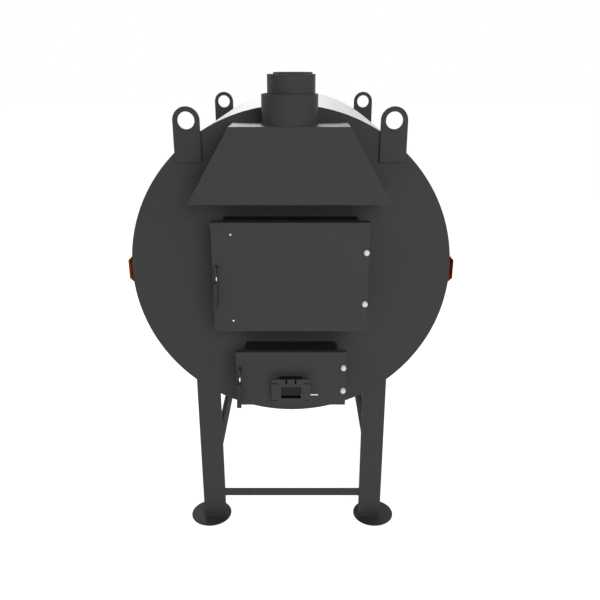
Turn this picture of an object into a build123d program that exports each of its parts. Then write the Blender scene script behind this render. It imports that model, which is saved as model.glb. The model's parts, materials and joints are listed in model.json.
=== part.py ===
"""Solid fuel air heater: a drum on four legs with a firebox inside, two doors, a smoke box and a fan.

Millimetres. X runs to the right as seen from the doors, Y to the rear, Z up. The origin is on the
floor under the middle of the drum.
"""
import os
from collections import namedtuple
from math import sqrt

from build123d import *

os.makedirs("parts", exist_ok=True)

# Drum: two end plates and a casing of two half shells with a flanged seam on each side
DRUM_R = 600.0
DRUM_LENGTH = 1200.0
DRUM_AXIS_Z = 1134.0
END_PLATE_T = 4.0
CASING_T = 3.0
SEAM_FLANGE_W = 11.0
SEAM_FLANGE_T = 1.5
SEAM_BOLTS = 8
SEAM_BOLT_R = 3.0
SEAM_BOLT_HEAD_R = 4.5
SEAM_BOLT_HEAD_H = 4.0
SEAM_BOLT_END = 90.0
STRIP_REACH = 14.0
STRIP_FACE_W = 71.4
STRIP_FOOT_W = 97.2
STRIP_T = 2.0

# Lifting lugs
LUG_X = 364.0
LUG_W = 95.0
LUG_T = 10.0
LUG_HOLE_R = 30.0
LUG_HOLE_DROP = 53.0
LUG_FOOT_DROP = 144.0

# Stand: angle legs on round foot plates, tied by angle bars
LEG_W = 95.0
LEG_T = 4.0
LEG_OUTER_X = 382.5
FOOT_R = 86.0
FOOT_T = 4.0
FOOT_INSET = 27.3
FOOT_SETBACK = 25.0
BAR_W = 36.0
BAR_T = 4.0
BAR_Z = 109.0

# Smoke box and the stepped flue on top of it
SMOKE_BOX_TOP_DROP = 58.5
SMOKE_BOX_H = 255.0
SMOKE_BOX_TOP_W = 397.0
SMOKE_BOX_BOTTOM_W = 692.0
SMOKE_BOX_T = 4.0
FLUE_WALL = 5.0
FLUE_BORES = (180.0, 150.0, 120.0)
FLUE_TOPS = (98.5, 160.0, 166.1)
FLUE_SHIFT = 5.3
FLUE_RING_T = 3.0
FLUE_RING_DEPTH = 9.0
FLUE_EDGE = 1.0

# Firebox, its tubes and the rear smoke chamber
FIREBOX_T = 6.0
AIR_WAY = 40.0
TUBE_R = 31.75
TUBE_T = 3.0
TUBE_SPACING = 90.0
TUBE_ROW_DROPS = (255.0, 175.0, 100.0)
TUBE_ROW_COUNTS = (6, 5, 4)
TUBE_GAP = 10.25
CHAMBER_DEPTH = 120.0
CHAMBER_T = 4.0
CHAMBER_REAR_GAP = 96.0
CHAMBER_FOOT_DROP = 40.0
CHAMBER_SHOULDER_DROP = 234.0
CHAMBER_TOP_DROP = 60.0
CHAMBER_W = 600.0
CHAMBER_TOP_W = 400.0
SMOKE_WAY_SIDE = 7.43
SMOKE_WAY_H = 120.0
SMOKE_WAY_DROP = 43.0
BAFFLE_T = 3.0
BAFFLE_FRONT_GAP = 140.0

# Grate, ash pan and their supports
GRATE_LIFT = 53.8
GRATE_BAR_W = 24.0
GRATE_BAR_H = 30.0
GRATE_SPACING = 40.0
GRATE_END_GAP = 20.0
SUPPORT_H = 45.0
SUPPORT_T = 12.0
SUPPORTS = 3
SUPPORT_FRONT_GAP = 60.0
SUPPORT_REAR_GAP = 58.0
PAN_SIDE_GAP = 15.0
PAN_TOP_GAP = 50.0
PAN_SETBACK = 30.0
PAN_LENGTH = 820.0
PAN_T = 2.5
PAN_PULL_W = 120.0
PAN_PULL_R = 5.0
PAN_PULL_REACH = 15.0
RAIL_T = 14.0
RAIL_PAST_PAN = 2.0

# Door tunnels
TUNNEL_REACH = 100.0
TUNNEL_WALL = 5.0
TUNNEL_CORNER_R = 10.0
FUEL_RISE = 8.8
FUEL_TUNNEL_W = 497.0
FUEL_TUNNEL_H = 387.5
ASH_LIFT = 53.2
ASH_TUNNEL_W = 356.0
ASH_TUNNEL_H = 200.0

# Doors: a folded tray with a seal channel, a rope seal and a fire brick liner
DOOR_SIDE_LAP = 30.5
FUEL_DOOR_LAP = 10.85
FUEL_DOOR_T = 36.5
ASH_DOOR_LAP = 11.5
ASH_DOOR_T = 25.0
DOOR_GAP = 0.3
DOOR_SHEET = 4.0
DOOR_RIM = 2.5
SEAL_W = 14.0
SEAL_T = 10.0
CHANNEL_WALL = 3.0
CHANNEL_SETBACK = 2.7
LINER_MARGIN = 18.0
LINER_REACH = 12.0
LINER_SCREW_R = 2.0
LINER_SCREW_HEAD_R = 3.5
LINER_SCREW_HEAD_T = 1.5
FUEL_SCREW_SIDE_INSET = 39.0
FUEL_SCREW_END_INSET = 31.75

# Hinges: fixed pins on the tunnels, eye bolts that carry the doors, dome nuts on the door faces
HINGE_OFFSET = 20.5
HINGE_SETBACK = 20.0
PIN_R = 6.0
PIN_HEAD_R = 9.0
PIN_HEAD_T = 3.0
RUNNING_FIT = 0.05
EYE_R = 12.0
EYE_H = 16.0
EYE_SIDE_GAP = 0.5
EAR_T = 6.0
EAR_W = 24.0
EAR_REACH = 30.5
EAR_BACK_T = 4.0
SHANK_R = 7.5
THREAD_R = 5.0
THREAD_END = 12.0
NUT_WASHER_R = 10.5
NUT_WASHER_T = 2.0
NUT_FLATS = 17.0
NUT_H = 8.0
NUT_DOME_R = 7.8
FUEL_EYES = (97.0, -96.0)
ASH_EYES = (48.5, -48.0)

# Latches: a hook lever in each door behind a keeper pin on the tunnel, with a hanging handle
LATCH_OFFSET = 15.5
LEVER_T = 6.0
LEVER_PIVOT_R = 4.0
LATCH_HEAD_R = 5.0
LATCH_HEAD_T = 2.0
FUEL_PIVOT_RISE = 31.2
ASH_PIVOT_RISE = 32.8
FUEL_PIVOT_DEPTH = 18.5
ASH_PIVOT_DEPTH = 15.0
LEVER_FACE_Y = -47.0
LEVER_FACE_TOP = 20.0
LEVER_FACE_W = 9.0
LEVER_FOOT = -12.0
LEVER_WAIST_Y = -26.0
LEVER_WAIST = 5.0
LEVER_HUB_Y = 8.0
LEVER_HUB_TOP = 9.0
LEVER_HUB_FOOT = -7.0
LEVER_BELLY_Y = 6.0
LEVER_ARM_Y = 20.0
LEVER_ARM_TOP = -2.5
LEVER_NOSE_Y = 38.5
LEVER_NOSE_TOP = 8.0
LEVER_END_Y = 48.0
LEVER_END_CUT = 6.0
KEEPER_R = 5.0
KEEPER_GAP = 1.5
KEEPER_PAST_LEVER = 5.5
SLOT_SIDE = 0.7
SLOT_TOP = 18.5
SLOT_FOOT = -10.0
NECK_R = 4.5
NECK_H = 22.0
GRIP_TOP_R = 8.2
GRIP_FOOT_R = 7.2
GRIP_H = 102.0
GRIP_END = 1.0
GRIP_INSET = 5.0

# Damper on the ash door: a duct through the door, a slotted face plate and a flap on a rod
DUCT_W = 83.0
DUCT_WALL = 3.0
DUCT_TOP = 11.8
DUCT_REACH = 30.0
DAMPER_FACE_W = 148.0
DAMPER_FACE_H = 102.0
DAMPER_FACE_T = 3.0
DAMPER_FACE_TOP = 14.2
WINDOW_W = 74.0
WINDOW_H = 47.7
WINDOW_TOP = 17.8
SLOT_LENGTH = 22.0
SLOT_W = 5.0
SLOT_PLACES = (33.5, -37.5)
NOTCH_X = 17.5
NOTCH_W = 6.0
NOTCH_H = 20.0
ROD_R = 3.5
ROD_DROP = 67.0
ROD_SETBACK = 10.0
ROD_PULL_REACH = 65.0
ROD_END_REACH = 5.5
FLAP_T = 1.5
FLAP_H = 43.0
FLAP_SIDE_GAP = 2.0

# Rear: warm air outlet above, fan below
OUTLET_R = 200.0
OUTLET_T = 3.0
OUTLET_RISE = 290.0
OUTLET_LENGTH = 100.0
FLANGE_W = 30.0
FLANGE_T = 4.0
FAN_R = 210.0
FAN_T = 4.0
FAN_DROP = 250.0
FAN_END_GAP = 16.0
GUARD_WIRE = 5.0
GUARD_RINGS = (180.0, 135.0, 90.0, 45.0)
GUARD_SPOKES = 8
GUARD_DEPTH = 12.0
SPIDER_GAP = 16.0
SPIDER_T = 5.0
SPIDER_HUB_R = 62.0
SPIDER_BORE_R = 19.0
SPIDER_ARM_W = 30.0
SPIDER_ARMS = 4
MOTOR_R = 58.0
MOTOR_LENGTH = 95.0
MOTOR_EDGE_R = 9.7
MOTOR_BOX = (60.0, 46.0, 34.0)
MOTOR_BOX_SINK = 14.5
GLAND_R = 9.0
GLAND_LENGTH = 20.0
SHAFT_R = 9.5
SHAFT_START = 10.0
SHAFT_INTO_MOTOR = 30.0
HUB_R = 42.0
HUB_H = 34.0
HUB_START = 14.0
BLADES = 6
BLADE_TIP_GAP = 8.0
BLADE_T = 4.0
BLADE_CHORD = 70.0
BLADE_PITCH = 28.0

FRONT_Y = -DRUM_LENGTH / 2
REAR_Y = DRUM_LENGTH / 2
CASING_FRONT_Y = FRONT_Y + END_PLATE_T
CASING_REAR_Y = REAR_Y - END_PLATE_T
CASING_INNER_R = DRUM_R - CASING_T
TUNNEL_FRONT_Y = FRONT_Y - TUNNEL_REACH
SIDES = (-1, 1)


def facing(y):
    """Plane at y that faces the front, with X to the right and Z up."""
    return Plane.XZ.offset(-y)


def sideways(x):
    """Plane at x that faces +X, with Y to the right and Z up."""
    return Plane.YZ.offset(x)


# Where the firebox lies: between the lowest tubes and the air way at the casing's foot
FIREBOX_TOP_Z = DRUM_AXIS_Z + DRUM_R - TUBE_ROW_DROPS[0] - TUBE_R - TUBE_GAP
FIREBOX_FOOT_Z = DRUM_AXIS_Z - CASING_INNER_R + AIR_WAY
FIREBOX_R = (FIREBOX_TOP_Z - FIREBOX_FOOT_Z) / 2
FIREBOX_INNER_R = FIREBOX_R - FIREBOX_T
FIREBOX_Z = (FIREBOX_TOP_Z + FIREBOX_FOOT_Z) / 2

# Front plate: the drum's front end, with both tunnel mouths and the tube ends in it
TUBE_PLACES = [((i - (count - 1) / 2) * TUBE_SPACING, DRUM_AXIS_Z + DRUM_R - drop)
               for drop, count in zip(TUBE_ROW_DROPS, TUBE_ROW_COUNTS) for i in range(count)]
FUEL_Z = DRUM_AXIS_Z + FUEL_RISE
ASH_Z = FIREBOX_FOOT_Z + FIREBOX_T + ASH_LIFT + ASH_TUNNEL_H / 2
with BuildPart() as front_plate:
    with BuildSketch(facing(CASING_FRONT_Y)):
        with Locations((0, DRUM_AXIS_Z)):
            Circle(DRUM_R)
        with Locations((0, FUEL_Z)):
            RectangleRounded(FUEL_TUNNEL_W, FUEL_TUNNEL_H, TUNNEL_CORNER_R, mode=Mode.SUBTRACT)
        with Locations((0, ASH_Z)):
            RectangleRounded(ASH_TUNNEL_W, ASH_TUNNEL_H, TUNNEL_CORNER_R, mode=Mode.SUBTRACT)
        with Locations(*TUBE_PLACES):
            Circle(TUBE_R, mode=Mode.SUBTRACT)
    extrude(amount=END_PLATE_T)
front_plate.part.label = "front_plate"
export_step(front_plate.part, "parts/front_plate.step")

# Rear plate: the drum's rear end, with the fan's hole below and the outlet's above
FAN_Z = DRUM_AXIS_Z - FAN_DROP
OUTLET_Z = DRUM_AXIS_Z + OUTLET_RISE
with BuildPart() as rear_plate:
    with BuildSketch(facing(REAR_Y)):
        with Locations((0, DRUM_AXIS_Z)):
            Circle(DRUM_R)
        with Locations((0, FAN_Z)):
            Circle(FAN_R - FAN_T, mode=Mode.SUBTRACT)
        with Locations((0, OUTLET_Z)):
            Circle(OUTLET_R - OUTLET_T, mode=Mode.SUBTRACT)
    extrude(amount=END_PLATE_T)
rear_plate.part.label = "rear_plate"
export_step(rear_plate.part, "parts/rear_plate.step")

# Casing: an upper and a lower half shell, with outward flanges along both seams
SEAM_BOLT_X = DRUM_R + SEAM_FLANGE_W / 2
SEAM_SPAN = DRUM_LENGTH - 2 * SEAM_BOLT_END
SEAM_PLACES = [-SEAM_SPAN / 2 + i * SEAM_SPAN / (SEAM_BOLTS - 1) for i in range(SEAM_BOLTS)]
SEAM_SPOTS = [(side * SEAM_BOLT_X, y) for side in SIDES for y in SEAM_PLACES]


def half_casing(up):
    """Half shell above (up = 1) or below (up = -1) the seam, with its two bolted flanges."""
    with BuildPart() as half:
        with BuildSketch(facing(CASING_REAR_Y)):
            with Locations((0, DRUM_AXIS_Z)):
                Circle(DRUM_R)
                Circle(CASING_INNER_R, mode=Mode.SUBTRACT)
            with Locations((0, DRUM_AXIS_Z + up * DRUM_R / 2)):
                Rectangle(2 * DRUM_R, DRUM_R, mode=Mode.INTERSECT)
        extrude(amount=CASING_REAR_Y - CASING_FRONT_Y)
        with BuildSketch(facing(CASING_REAR_Y - STRIP_T)):
            for side in SIDES:
                reach = SEAM_FLANGE_W + CASING_T / 2
                middle = side * (DRUM_R + SEAM_FLANGE_W - reach / 2)
                with Locations((middle, DRUM_AXIS_Z + up * SEAM_FLANGE_T / 2)):
                    Rectangle(reach, SEAM_FLANGE_T)
        extrude(amount=CASING_REAR_Y - CASING_FRONT_Y - 2 * STRIP_T)
        with BuildSketch(Plane.XY.offset(DRUM_AXIS_Z - 2 * SEAM_FLANGE_T)):
            with Locations(*SEAM_SPOTS):
                Circle(SEAM_BOLT_R + RUNNING_FIT)
        extrude(amount=4 * SEAM_FLANGE_T, mode=Mode.SUBTRACT)
    return half.part


for up, name in ((1, "casing_upper"), (-1, "casing_lower")):
    casing = half_casing(up)
    casing.label = name
    export_step(casing, f"parts/{name}.step")

# Casing bolts: hexagon bolts with nuts that clamp the seam flanges
with BuildPart() as casing_bolts:
    for z in (DRUM_AXIS_Z + SEAM_FLANGE_T, DRUM_AXIS_Z - SEAM_FLANGE_T - SEAM_BOLT_HEAD_H):
        with BuildSketch(Plane.XY.offset(z)):
            with Locations(*SEAM_SPOTS):
                RegularPolygon(SEAM_BOLT_HEAD_R, 6)
        extrude(amount=SEAM_BOLT_HEAD_H)
    with BuildSketch(Plane.XY.offset(DRUM_AXIS_Z - SEAM_FLANGE_T)):
        with Locations(*SEAM_SPOTS):
            Circle(SEAM_BOLT_R)
    extrude(amount=2 * SEAM_FLANGE_T)
casing_bolts.part.label = "casing_bolts"
export_step(casing_bolts.part, "parts/casing_bolts.step")

# Side strips: hat profiles with closed ends that cover the bolted seams along the whole casing
STRIP_FACE_X = DRUM_R + STRIP_REACH


def strip_outline(side, inset):
    """Hat profile on one side of the casing, smaller by inset, from inside the casing's round."""
    root_x = side * (DRUM_R - STRIP_REACH)
    foot_x = side * DRUM_R
    face_x = side * (STRIP_FACE_X - inset)
    half_foot = STRIP_FOOT_W / 2 - inset
    half_face = STRIP_FACE_W / 2 - inset / 2
    half = [(root_x, half_foot), (foot_x, half_foot), (face_x, half_face)]
    points = half + [(x, -z) for x, z in reversed(half)]
    return [(x, DRUM_AXIS_Z + z) for x, z in points]


with BuildPart() as side_strips:
    with BuildSketch(facing(CASING_REAR_Y)):
        for side in SIDES:
            with BuildLine():
                Polyline(*strip_outline(side, 0), close=True)
            make_face()
        with Locations((0, DRUM_AXIS_Z)):
            Circle(DRUM_R, mode=Mode.SUBTRACT)
    extrude(amount=CASING_REAR_Y - CASING_FRONT_Y)
    with BuildSketch(facing(CASING_REAR_Y - STRIP_T)):
        for side in SIDES:
            with BuildLine():
                Polyline(*strip_outline(side, STRIP_T), close=True)
            make_face()
    extrude(amount=CASING_REAR_Y - CASING_FRONT_Y - 2 * STRIP_T, mode=Mode.SUBTRACT)
side_strips.part.label = "side_strips"
export_step(side_strips.part, "parts/side_strips.step")

# Lifting lugs: round-topped plates with a hole, two on each end plate
LUG_Z = DRUM_AXIS_Z + DRUM_R - LUG_HOLE_DROP
with BuildPart() as lifting_lugs:
    for y in (FRONT_Y, REAR_Y + LUG_T):
        with BuildSketch(facing(y)):
            for side in SIDES:
                with Locations((side * LUG_X, LUG_Z)):
                    Circle(LUG_W / 2)
                with Locations((side * LUG_X, LUG_Z - LUG_FOOT_DROP / 2)):
                    Rectangle(LUG_W, LUG_FOOT_DROP)
                with Locations((side * LUG_X, LUG_Z)):
                    Circle(LUG_HOLE_R, mode=Mode.SUBTRACT)
        extrude(amount=LUG_T)
lifting_lugs.part.label = "lifting_lugs"
export_step(lifting_lugs.part, "parts/lifting_lugs.step")

# Legs: angle profiles, corner outward, cut to the drum's round at the top
for side, side_name in ((-1, "left"), (1, "right")):
    for end, end_name in ((-1, "front"), (1, "rear")):
        corner_x = side * LEG_OUTER_X
        corner_y = end * REAR_Y
        with BuildPart() as leg:
            with BuildSketch(Plane.XY.offset(FOOT_T)):
                with Locations((corner_x - side * LEG_W / 2, corner_y - end * LEG_T / 2)):
                    Rectangle(LEG_W, LEG_T)
                with Locations((corner_x - side * LEG_T / 2, corner_y - end * LEG_W / 2)):
                    Rectangle(LEG_T, LEG_W)
            extrude(amount=DRUM_AXIS_Z - FOOT_T)
            with BuildSketch(facing(REAR_Y)):
                with Locations((0, DRUM_AXIS_Z)):
                    Circle(DRUM_R)
                    Rectangle(2 * DRUM_R, DRUM_R / 2)
            extrude(amount=DRUM_LENGTH, mode=Mode.SUBTRACT)
        leg.part.label = f"leg_{end_name}_{side_name}"
        export_step(leg.part, f"parts/leg_{end_name}_{side_name}.step")

# Foot plates: round plates under the legs
FOOT_X = LEG_OUTER_X - FOOT_INSET
FOOT_Y = REAR_Y - FOOT_SETBACK
with BuildPart() as foot_plates:
    with BuildSketch():
        with Locations(*[(side * FOOT_X, end * FOOT_Y) for side in SIDES for end in SIDES]):
            Circle(FOOT_R)
    extrude(amount=FOOT_T)
foot_plates.part.label = "foot_plates"
export_step(foot_plates.part, "parts/foot_plates.step")

# Base bars: angle bars between the legs, two across and two lengthwise
BAR_OUTER_X = LEG_OUTER_X - LEG_T
BAR_OUTER_Y = REAR_Y - LEG_T
with BuildPart() as cross_bars:
    for end in SIDES:
        with Locations((0, end * (BAR_OUTER_Y - BAR_T / 2), BAR_Z + BAR_W / 2)):
            Box(2 * BAR_OUTER_X, BAR_T, BAR_W)
        with Locations((0, end * (BAR_OUTER_Y - BAR_W / 2), BAR_Z + BAR_T / 2)):
            Box(2 * BAR_OUTER_X, BAR_W, BAR_T)
cross_bars.part.label = "cross_bars"
export_step(cross_bars.part, "parts/cross_bars.step")

RAIL_Y = BAR_OUTER_Y - BAR_W
with BuildPart() as side_rails:
    for side in SIDES:
        with Locations((side * (BAR_OUTER_X - BAR_T / 2), 0, BAR_Z + BAR_W / 2)):
            Box(BAR_T, 2 * RAIL_Y, BAR_W)
        with Locations((side * (BAR_OUTER_X - BAR_W / 2), 0, BAR_Z + BAR_T / 2)):
            Box(BAR_W, 2 * RAIL_Y, BAR_T)
side_rails.part.label = "side_rails"
export_step(side_rails.part, "parts/side_rails.step")


def smoke_box_outline(inset):
    """Trapezoid of the smoke box, smaller by inset all round."""
    lean = (SMOKE_BOX_BOTTOM_W - SMOKE_BOX_TOP_W) / 2
    slope = sqrt(lean ** 2 + SMOKE_BOX_H ** 2) / SMOKE_BOX_H
    top = FLUE_FOOT_Z - inset
    foot = FLUE_FOOT_Z - SMOKE_BOX_H + inset
    half_top = SMOKE_BOX_TOP_W / 2 + lean * inset / SMOKE_BOX_H - inset * slope
    half_foot = SMOKE_BOX_BOTTOM_W / 2 - lean * inset / SMOKE_BOX_H - inset * slope
    return [(-half_foot, foot), (half_foot, foot), (half_top, top), (-half_top, top)]


# Smoke box: a slant-sided hood on the front plate that gathers the smoke from the tubes
SMOKE_BOX_DEPTH = FLUE_BORES[0] + 2 * (FLUE_WALL + FLUE_EDGE)
FLUE_Y = FRONT_Y - SMOKE_BOX_DEPTH / 2
FLUE_FOOT_Z = DRUM_AXIS_Z + DRUM_R - SMOKE_BOX_TOP_DROP
with BuildPart() as smoke_box:
    with BuildSketch(facing(FRONT_Y)):
        with BuildLine():
            Polyline(*smoke_box_outline(0), close=True)
        make_face()
    extrude(amount=SMOKE_BOX_DEPTH)
    with BuildSketch(facing(FRONT_Y)):
        with BuildLine():
            Polyline(*smoke_box_outline(SMOKE_BOX_T), close=True)
        make_face()
    extrude(amount=SMOKE_BOX_DEPTH - SMOKE_BOX_T, mode=Mode.SUBTRACT)
    with BuildSketch(Plane.XY.offset(FLUE_FOOT_Z - 2 * SMOKE_BOX_T)):
        with Locations((0, FLUE_Y)):
            Circle(FLUE_BORES[0] / 2)
    extrude(amount=3 * SMOKE_BOX_T, mode=Mode.SUBTRACT)
smoke_box.part.label = "smoke_box"
export_step(smoke_box.part, "parts/smoke_box.step")

# Flue: a collar and two smaller sleeves, each on a flat ring that closes the one below it
FLUE_TOPS_Z = [FLUE_FOOT_Z + rise for rise in FLUE_TOPS]
with BuildPart() as flue_collar:
    with BuildSketch(Plane.XY.offset(FLUE_FOOT_Z)):
        with Locations((0, FLUE_Y)):
            Circle(FLUE_BORES[0] / 2 + FLUE_WALL)
            Circle(FLUE_BORES[0] / 2, mode=Mode.SUBTRACT)
    extrude(amount=FLUE_TOPS[0])
flue_collar.part.label = "flue_collar"
export_step(flue_collar.part, "parts/flue_collar.step")


def flue_step(index):
    """Sleeve number index with its closing ring, which sits just below the rim of the step before."""
    ring_z = FLUE_TOPS_Z[index - 1] - FLUE_RING_DEPTH
    before = ((index - 1) * FLUE_SHIFT, FLUE_Y)
    centre = (index * FLUE_SHIFT, FLUE_Y)
    with BuildPart() as step:
        with BuildSketch(Plane.XY.offset(ring_z)):
            with Locations(before):
                Circle(FLUE_BORES[index - 1] / 2)
            with Locations(centre):
                Circle(FLUE_BORES[index] / 2, mode=Mode.SUBTRACT)
        extrude(amount=FLUE_RING_T)
        with BuildSketch(Plane.XY.offset(ring_z)):
            with Locations(centre):
                Circle(FLUE_BORES[index] / 2 + FLUE_WALL)
                Circle(FLUE_BORES[index] / 2, mode=Mode.SUBTRACT)
        extrude(amount=FLUE_TOPS_Z[index] - ring_z)
    return step.part


for index, name in ((1, "flue_reducer"), (2, "flue_inner_ring")):
    sleeve = flue_step(index)
    sleeve.label = name
    export_step(sleeve, f"parts/{name}.step")

# Firebox: a closed drum inside the casing, below its axis, with a rear wall and a smoke way
WALL_REAR_Y = CASING_REAR_Y - CHAMBER_REAR_GAP - CHAMBER_DEPTH
FIREBOX_REAR_Y = WALL_REAR_Y - FIREBOX_T
FIREBOX_LENGTH = FIREBOX_REAR_Y - CASING_FRONT_Y
SMOKE_WAY_Z = FIREBOX_TOP_Z - SMOKE_WAY_DROP - SMOKE_WAY_H / 2
SMOKE_WAY_W = 2 * (sqrt(FIREBOX_R ** 2 - (FIREBOX_R - SMOKE_WAY_DROP) ** 2) - SMOKE_WAY_SIDE)
with BuildPart() as firebox_shell:
    with BuildSketch(facing(FIREBOX_REAR_Y)):
        with Locations((0, FIREBOX_Z)):
            Circle(FIREBOX_R)
            Circle(FIREBOX_INNER_R, mode=Mode.SUBTRACT)
    extrude(amount=FIREBOX_LENGTH)
firebox_shell.part.label = "firebox_shell"
export_step(firebox_shell.part, "parts/firebox_shell.step")

with BuildPart() as firebox_rear_wall:
    with BuildSketch(facing(WALL_REAR_Y)):
        with Locations((0, FIREBOX_Z)):
            Circle(FIREBOX_R)
        with Locations((0, SMOKE_WAY_Z)):
            Rectangle(SMOKE_WAY_W, SMOKE_WAY_H, mode=Mode.SUBTRACT)
    extrude(amount=FIREBOX_T)
firebox_rear_wall.part.label = "firebox_rear_wall"
export_step(firebox_rear_wall.part, "parts/firebox_rear_wall.step")


def chamber_outline(inset):
    """Outline of the rear smoke chamber, smaller by inset all round."""
    foot = SMOKE_WAY_Z - SMOKE_WAY_H / 2 - CHAMBER_FOOT_DROP + inset
    shoulder = DRUM_AXIS_Z + DRUM_R - CHAMBER_SHOULDER_DROP
    top = DRUM_AXIS_Z + DRUM_R - CHAMBER_TOP_DROP - inset
    half = CHAMBER_W / 2 - inset
    half_top = CHAMBER_TOP_W / 2 - inset
    right = [(half, foot), (half, shoulder), (half_top, top)]
    return right + [(-x, z) for x, z in reversed(right)]


# Smoke chamber: turns the smoke from the firebox's rear wall into the tubes above
CHAMBER_REAR_Y = WALL_REAR_Y + CHAMBER_DEPTH
with BuildPart() as smoke_chamber:
    with BuildSketch(facing(CHAMBER_REAR_Y)):
        with BuildLine():
            Polyline(*chamber_outline(0), close=True)
        make_face()
    extrude(amount=CHAMBER_DEPTH)
    with BuildSketch(facing(CHAMBER_REAR_Y - CHAMBER_T)):
        with BuildLine():
            Polyline(*chamber_outline(CHAMBER_T), close=True)
        make_face()
    extrude(amount=CHAMBER_DEPTH - 2 * CHAMBER_T, mode=Mode.SUBTRACT)
    with BuildSketch(facing(WALL_REAR_Y + CHAMBER_T)):
        with Locations(*TUBE_PLACES):
            Circle(TUBE_R)
        with Locations((0, SMOKE_WAY_Z)):
            Rectangle(SMOKE_WAY_W, SMOKE_WAY_H)
    extrude(amount=CHAMBER_T, mode=Mode.SUBTRACT)
smoke_chamber.part.label = "smoke_chamber"
export_step(smoke_chamber.part, "parts/smoke_chamber.step")

# Flue tubes: carry the smoke forward over the firebox, from the chamber to the smoke box
with BuildPart() as flue_tubes:
    with BuildSketch(facing(WALL_REAR_Y + CHAMBER_T)):
        with Locations(*TUBE_PLACES):
            Circle(TUBE_R)
            Circle(TUBE_R - TUBE_T, mode=Mode.SUBTRACT)
    extrude(amount=WALL_REAR_Y + CHAMBER_T - FRONT_Y)
flue_tubes.part.label = "flue_tubes"
export_step(flue_tubes.part, "parts/flue_tubes.step")

# Air baffle: keeps the fan's air low until it has passed forward under the firebox
with BuildPart() as air_baffle:
    with BuildSketch(facing(CASING_REAR_Y)):
        with Locations((0, DRUM_AXIS_Z)):
            Circle(CASING_INNER_R)
            Rectangle(2 * DRUM_R, BAFFLE_T, mode=Mode.INTERSECT)
    extrude(amount=CASING_REAR_Y - CASING_FRONT_Y - BAFFLE_FRONT_GAP)
    with BuildSketch(facing(WALL_REAR_Y)):
        with Locations((0, FIREBOX_Z)):
            Circle(FIREBOX_R)
    extrude(amount=DRUM_LENGTH, mode=Mode.SUBTRACT)
air_baffle.part.label = "air_baffle"
export_step(air_baffle.part, "parts/air_baffle.step")

# Grate supports: bars across the firebox, above the ash pan
PAN_W = ASH_TUNNEL_W - 2 * (TUNNEL_WALL + PAN_SIDE_GAP)
PAN_H = ASH_TUNNEL_H - 2 * TUNNEL_WALL - PAN_TOP_GAP
PAN_FLOOR_Z = ASH_Z - ASH_TUNNEL_H / 2 + TUNNEL_WALL
GRATE_Z = PAN_FLOOR_Z + PAN_H + GRATE_LIFT + SUPPORT_H
SUPPORT_SPAN = FIREBOX_LENGTH - SUPPORT_FRONT_GAP - SUPPORT_REAR_GAP - SUPPORT_T
with BuildPart() as grate_supports:
    for i in range(SUPPORTS):
        place = SUPPORT_FRONT_GAP + i * SUPPORT_SPAN / (SUPPORTS - 1)
        with BuildSketch(facing(CASING_FRONT_Y + place + SUPPORT_T)):
            with Locations((0, FIREBOX_Z)):
                Circle(FIREBOX_INNER_R)
            with Locations((0, GRATE_Z - SUPPORT_H / 2)):
                Rectangle(2 * FIREBOX_R, SUPPORT_H, mode=Mode.INTERSECT)
        extrude(amount=SUPPORT_T)
grate_supports.part.label = "grate_supports"
export_step(grate_supports.part, "parts/grate_supports.step")

# Grate bars: cast bars that carry the fire, as many as fit the firebox
GRATE_HALF_W = sqrt(FIREBOX_INNER_R ** 2 - (FIREBOX_Z - GRATE_Z) ** 2) - GRATE_BAR_W / 2
GRATE_BARS = 1 + 2 * int(GRATE_HALF_W / GRATE_SPACING)
with BuildPart() as grate_bars:
    with BuildSketch(facing(FIREBOX_REAR_Y - GRATE_END_GAP)):
        with Locations((0, GRATE_Z + GRATE_BAR_H / 2)):
            with GridLocations(GRATE_SPACING, GRATE_SPACING, GRATE_BARS, 1):
                Trapezoid(GRATE_BAR_W, GRATE_BAR_H, 85, rotation=180)
    extrude(amount=FIREBOX_LENGTH - 2 * GRATE_END_GAP)
grate_bars.part.label = "grate_bars"
export_step(grate_bars.part, "parts/grate_bars.step")

# Ash pan rails: runners that carry the pan on, level with the tunnel's floor
ASH_LINER_REAR_Y = TUNNEL_FRONT_Y + LINER_REACH
PAN_FRONT_Y = ASH_LINER_REAR_Y + PAN_SETBACK
RAIL_LENGTH = PAN_FRONT_Y + PAN_LENGTH + RAIL_PAST_PAN - CASING_FRONT_Y
with BuildPart() as ash_pan_rails:
    with BuildSketch(facing(CASING_FRONT_Y + RAIL_LENGTH)):
        with Locations((0, FIREBOX_Z)):
            Circle(FIREBOX_INNER_R)
        with Locations((0, PAN_FLOOR_Z - DRUM_R / 2)):
            with GridLocations(PAN_W - 2 * RAIL_T, DRUM_R, 2, 1):
                Rectangle(RAIL_T, DRUM_R, mode=Mode.PRIVATE)
    extrude(amount=RAIL_LENGTH)
    with BuildSketch(facing(CASING_FRONT_Y + RAIL_LENGTH)):
        with Locations((0, PAN_FLOOR_Z - DRUM_R / 2)):
            with GridLocations(PAN_W - 2 * RAIL_T, DRUM_R, 2, 1):
                Rectangle(RAIL_T, DRUM_R)
    extrude(amount=RAIL_LENGTH, mode=Mode.INTERSECT)
ash_pan_rails.part.label = "ash_pan_rails"
export_step(ash_pan_rails.part, "parts/ash_pan_rails.step")

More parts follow.
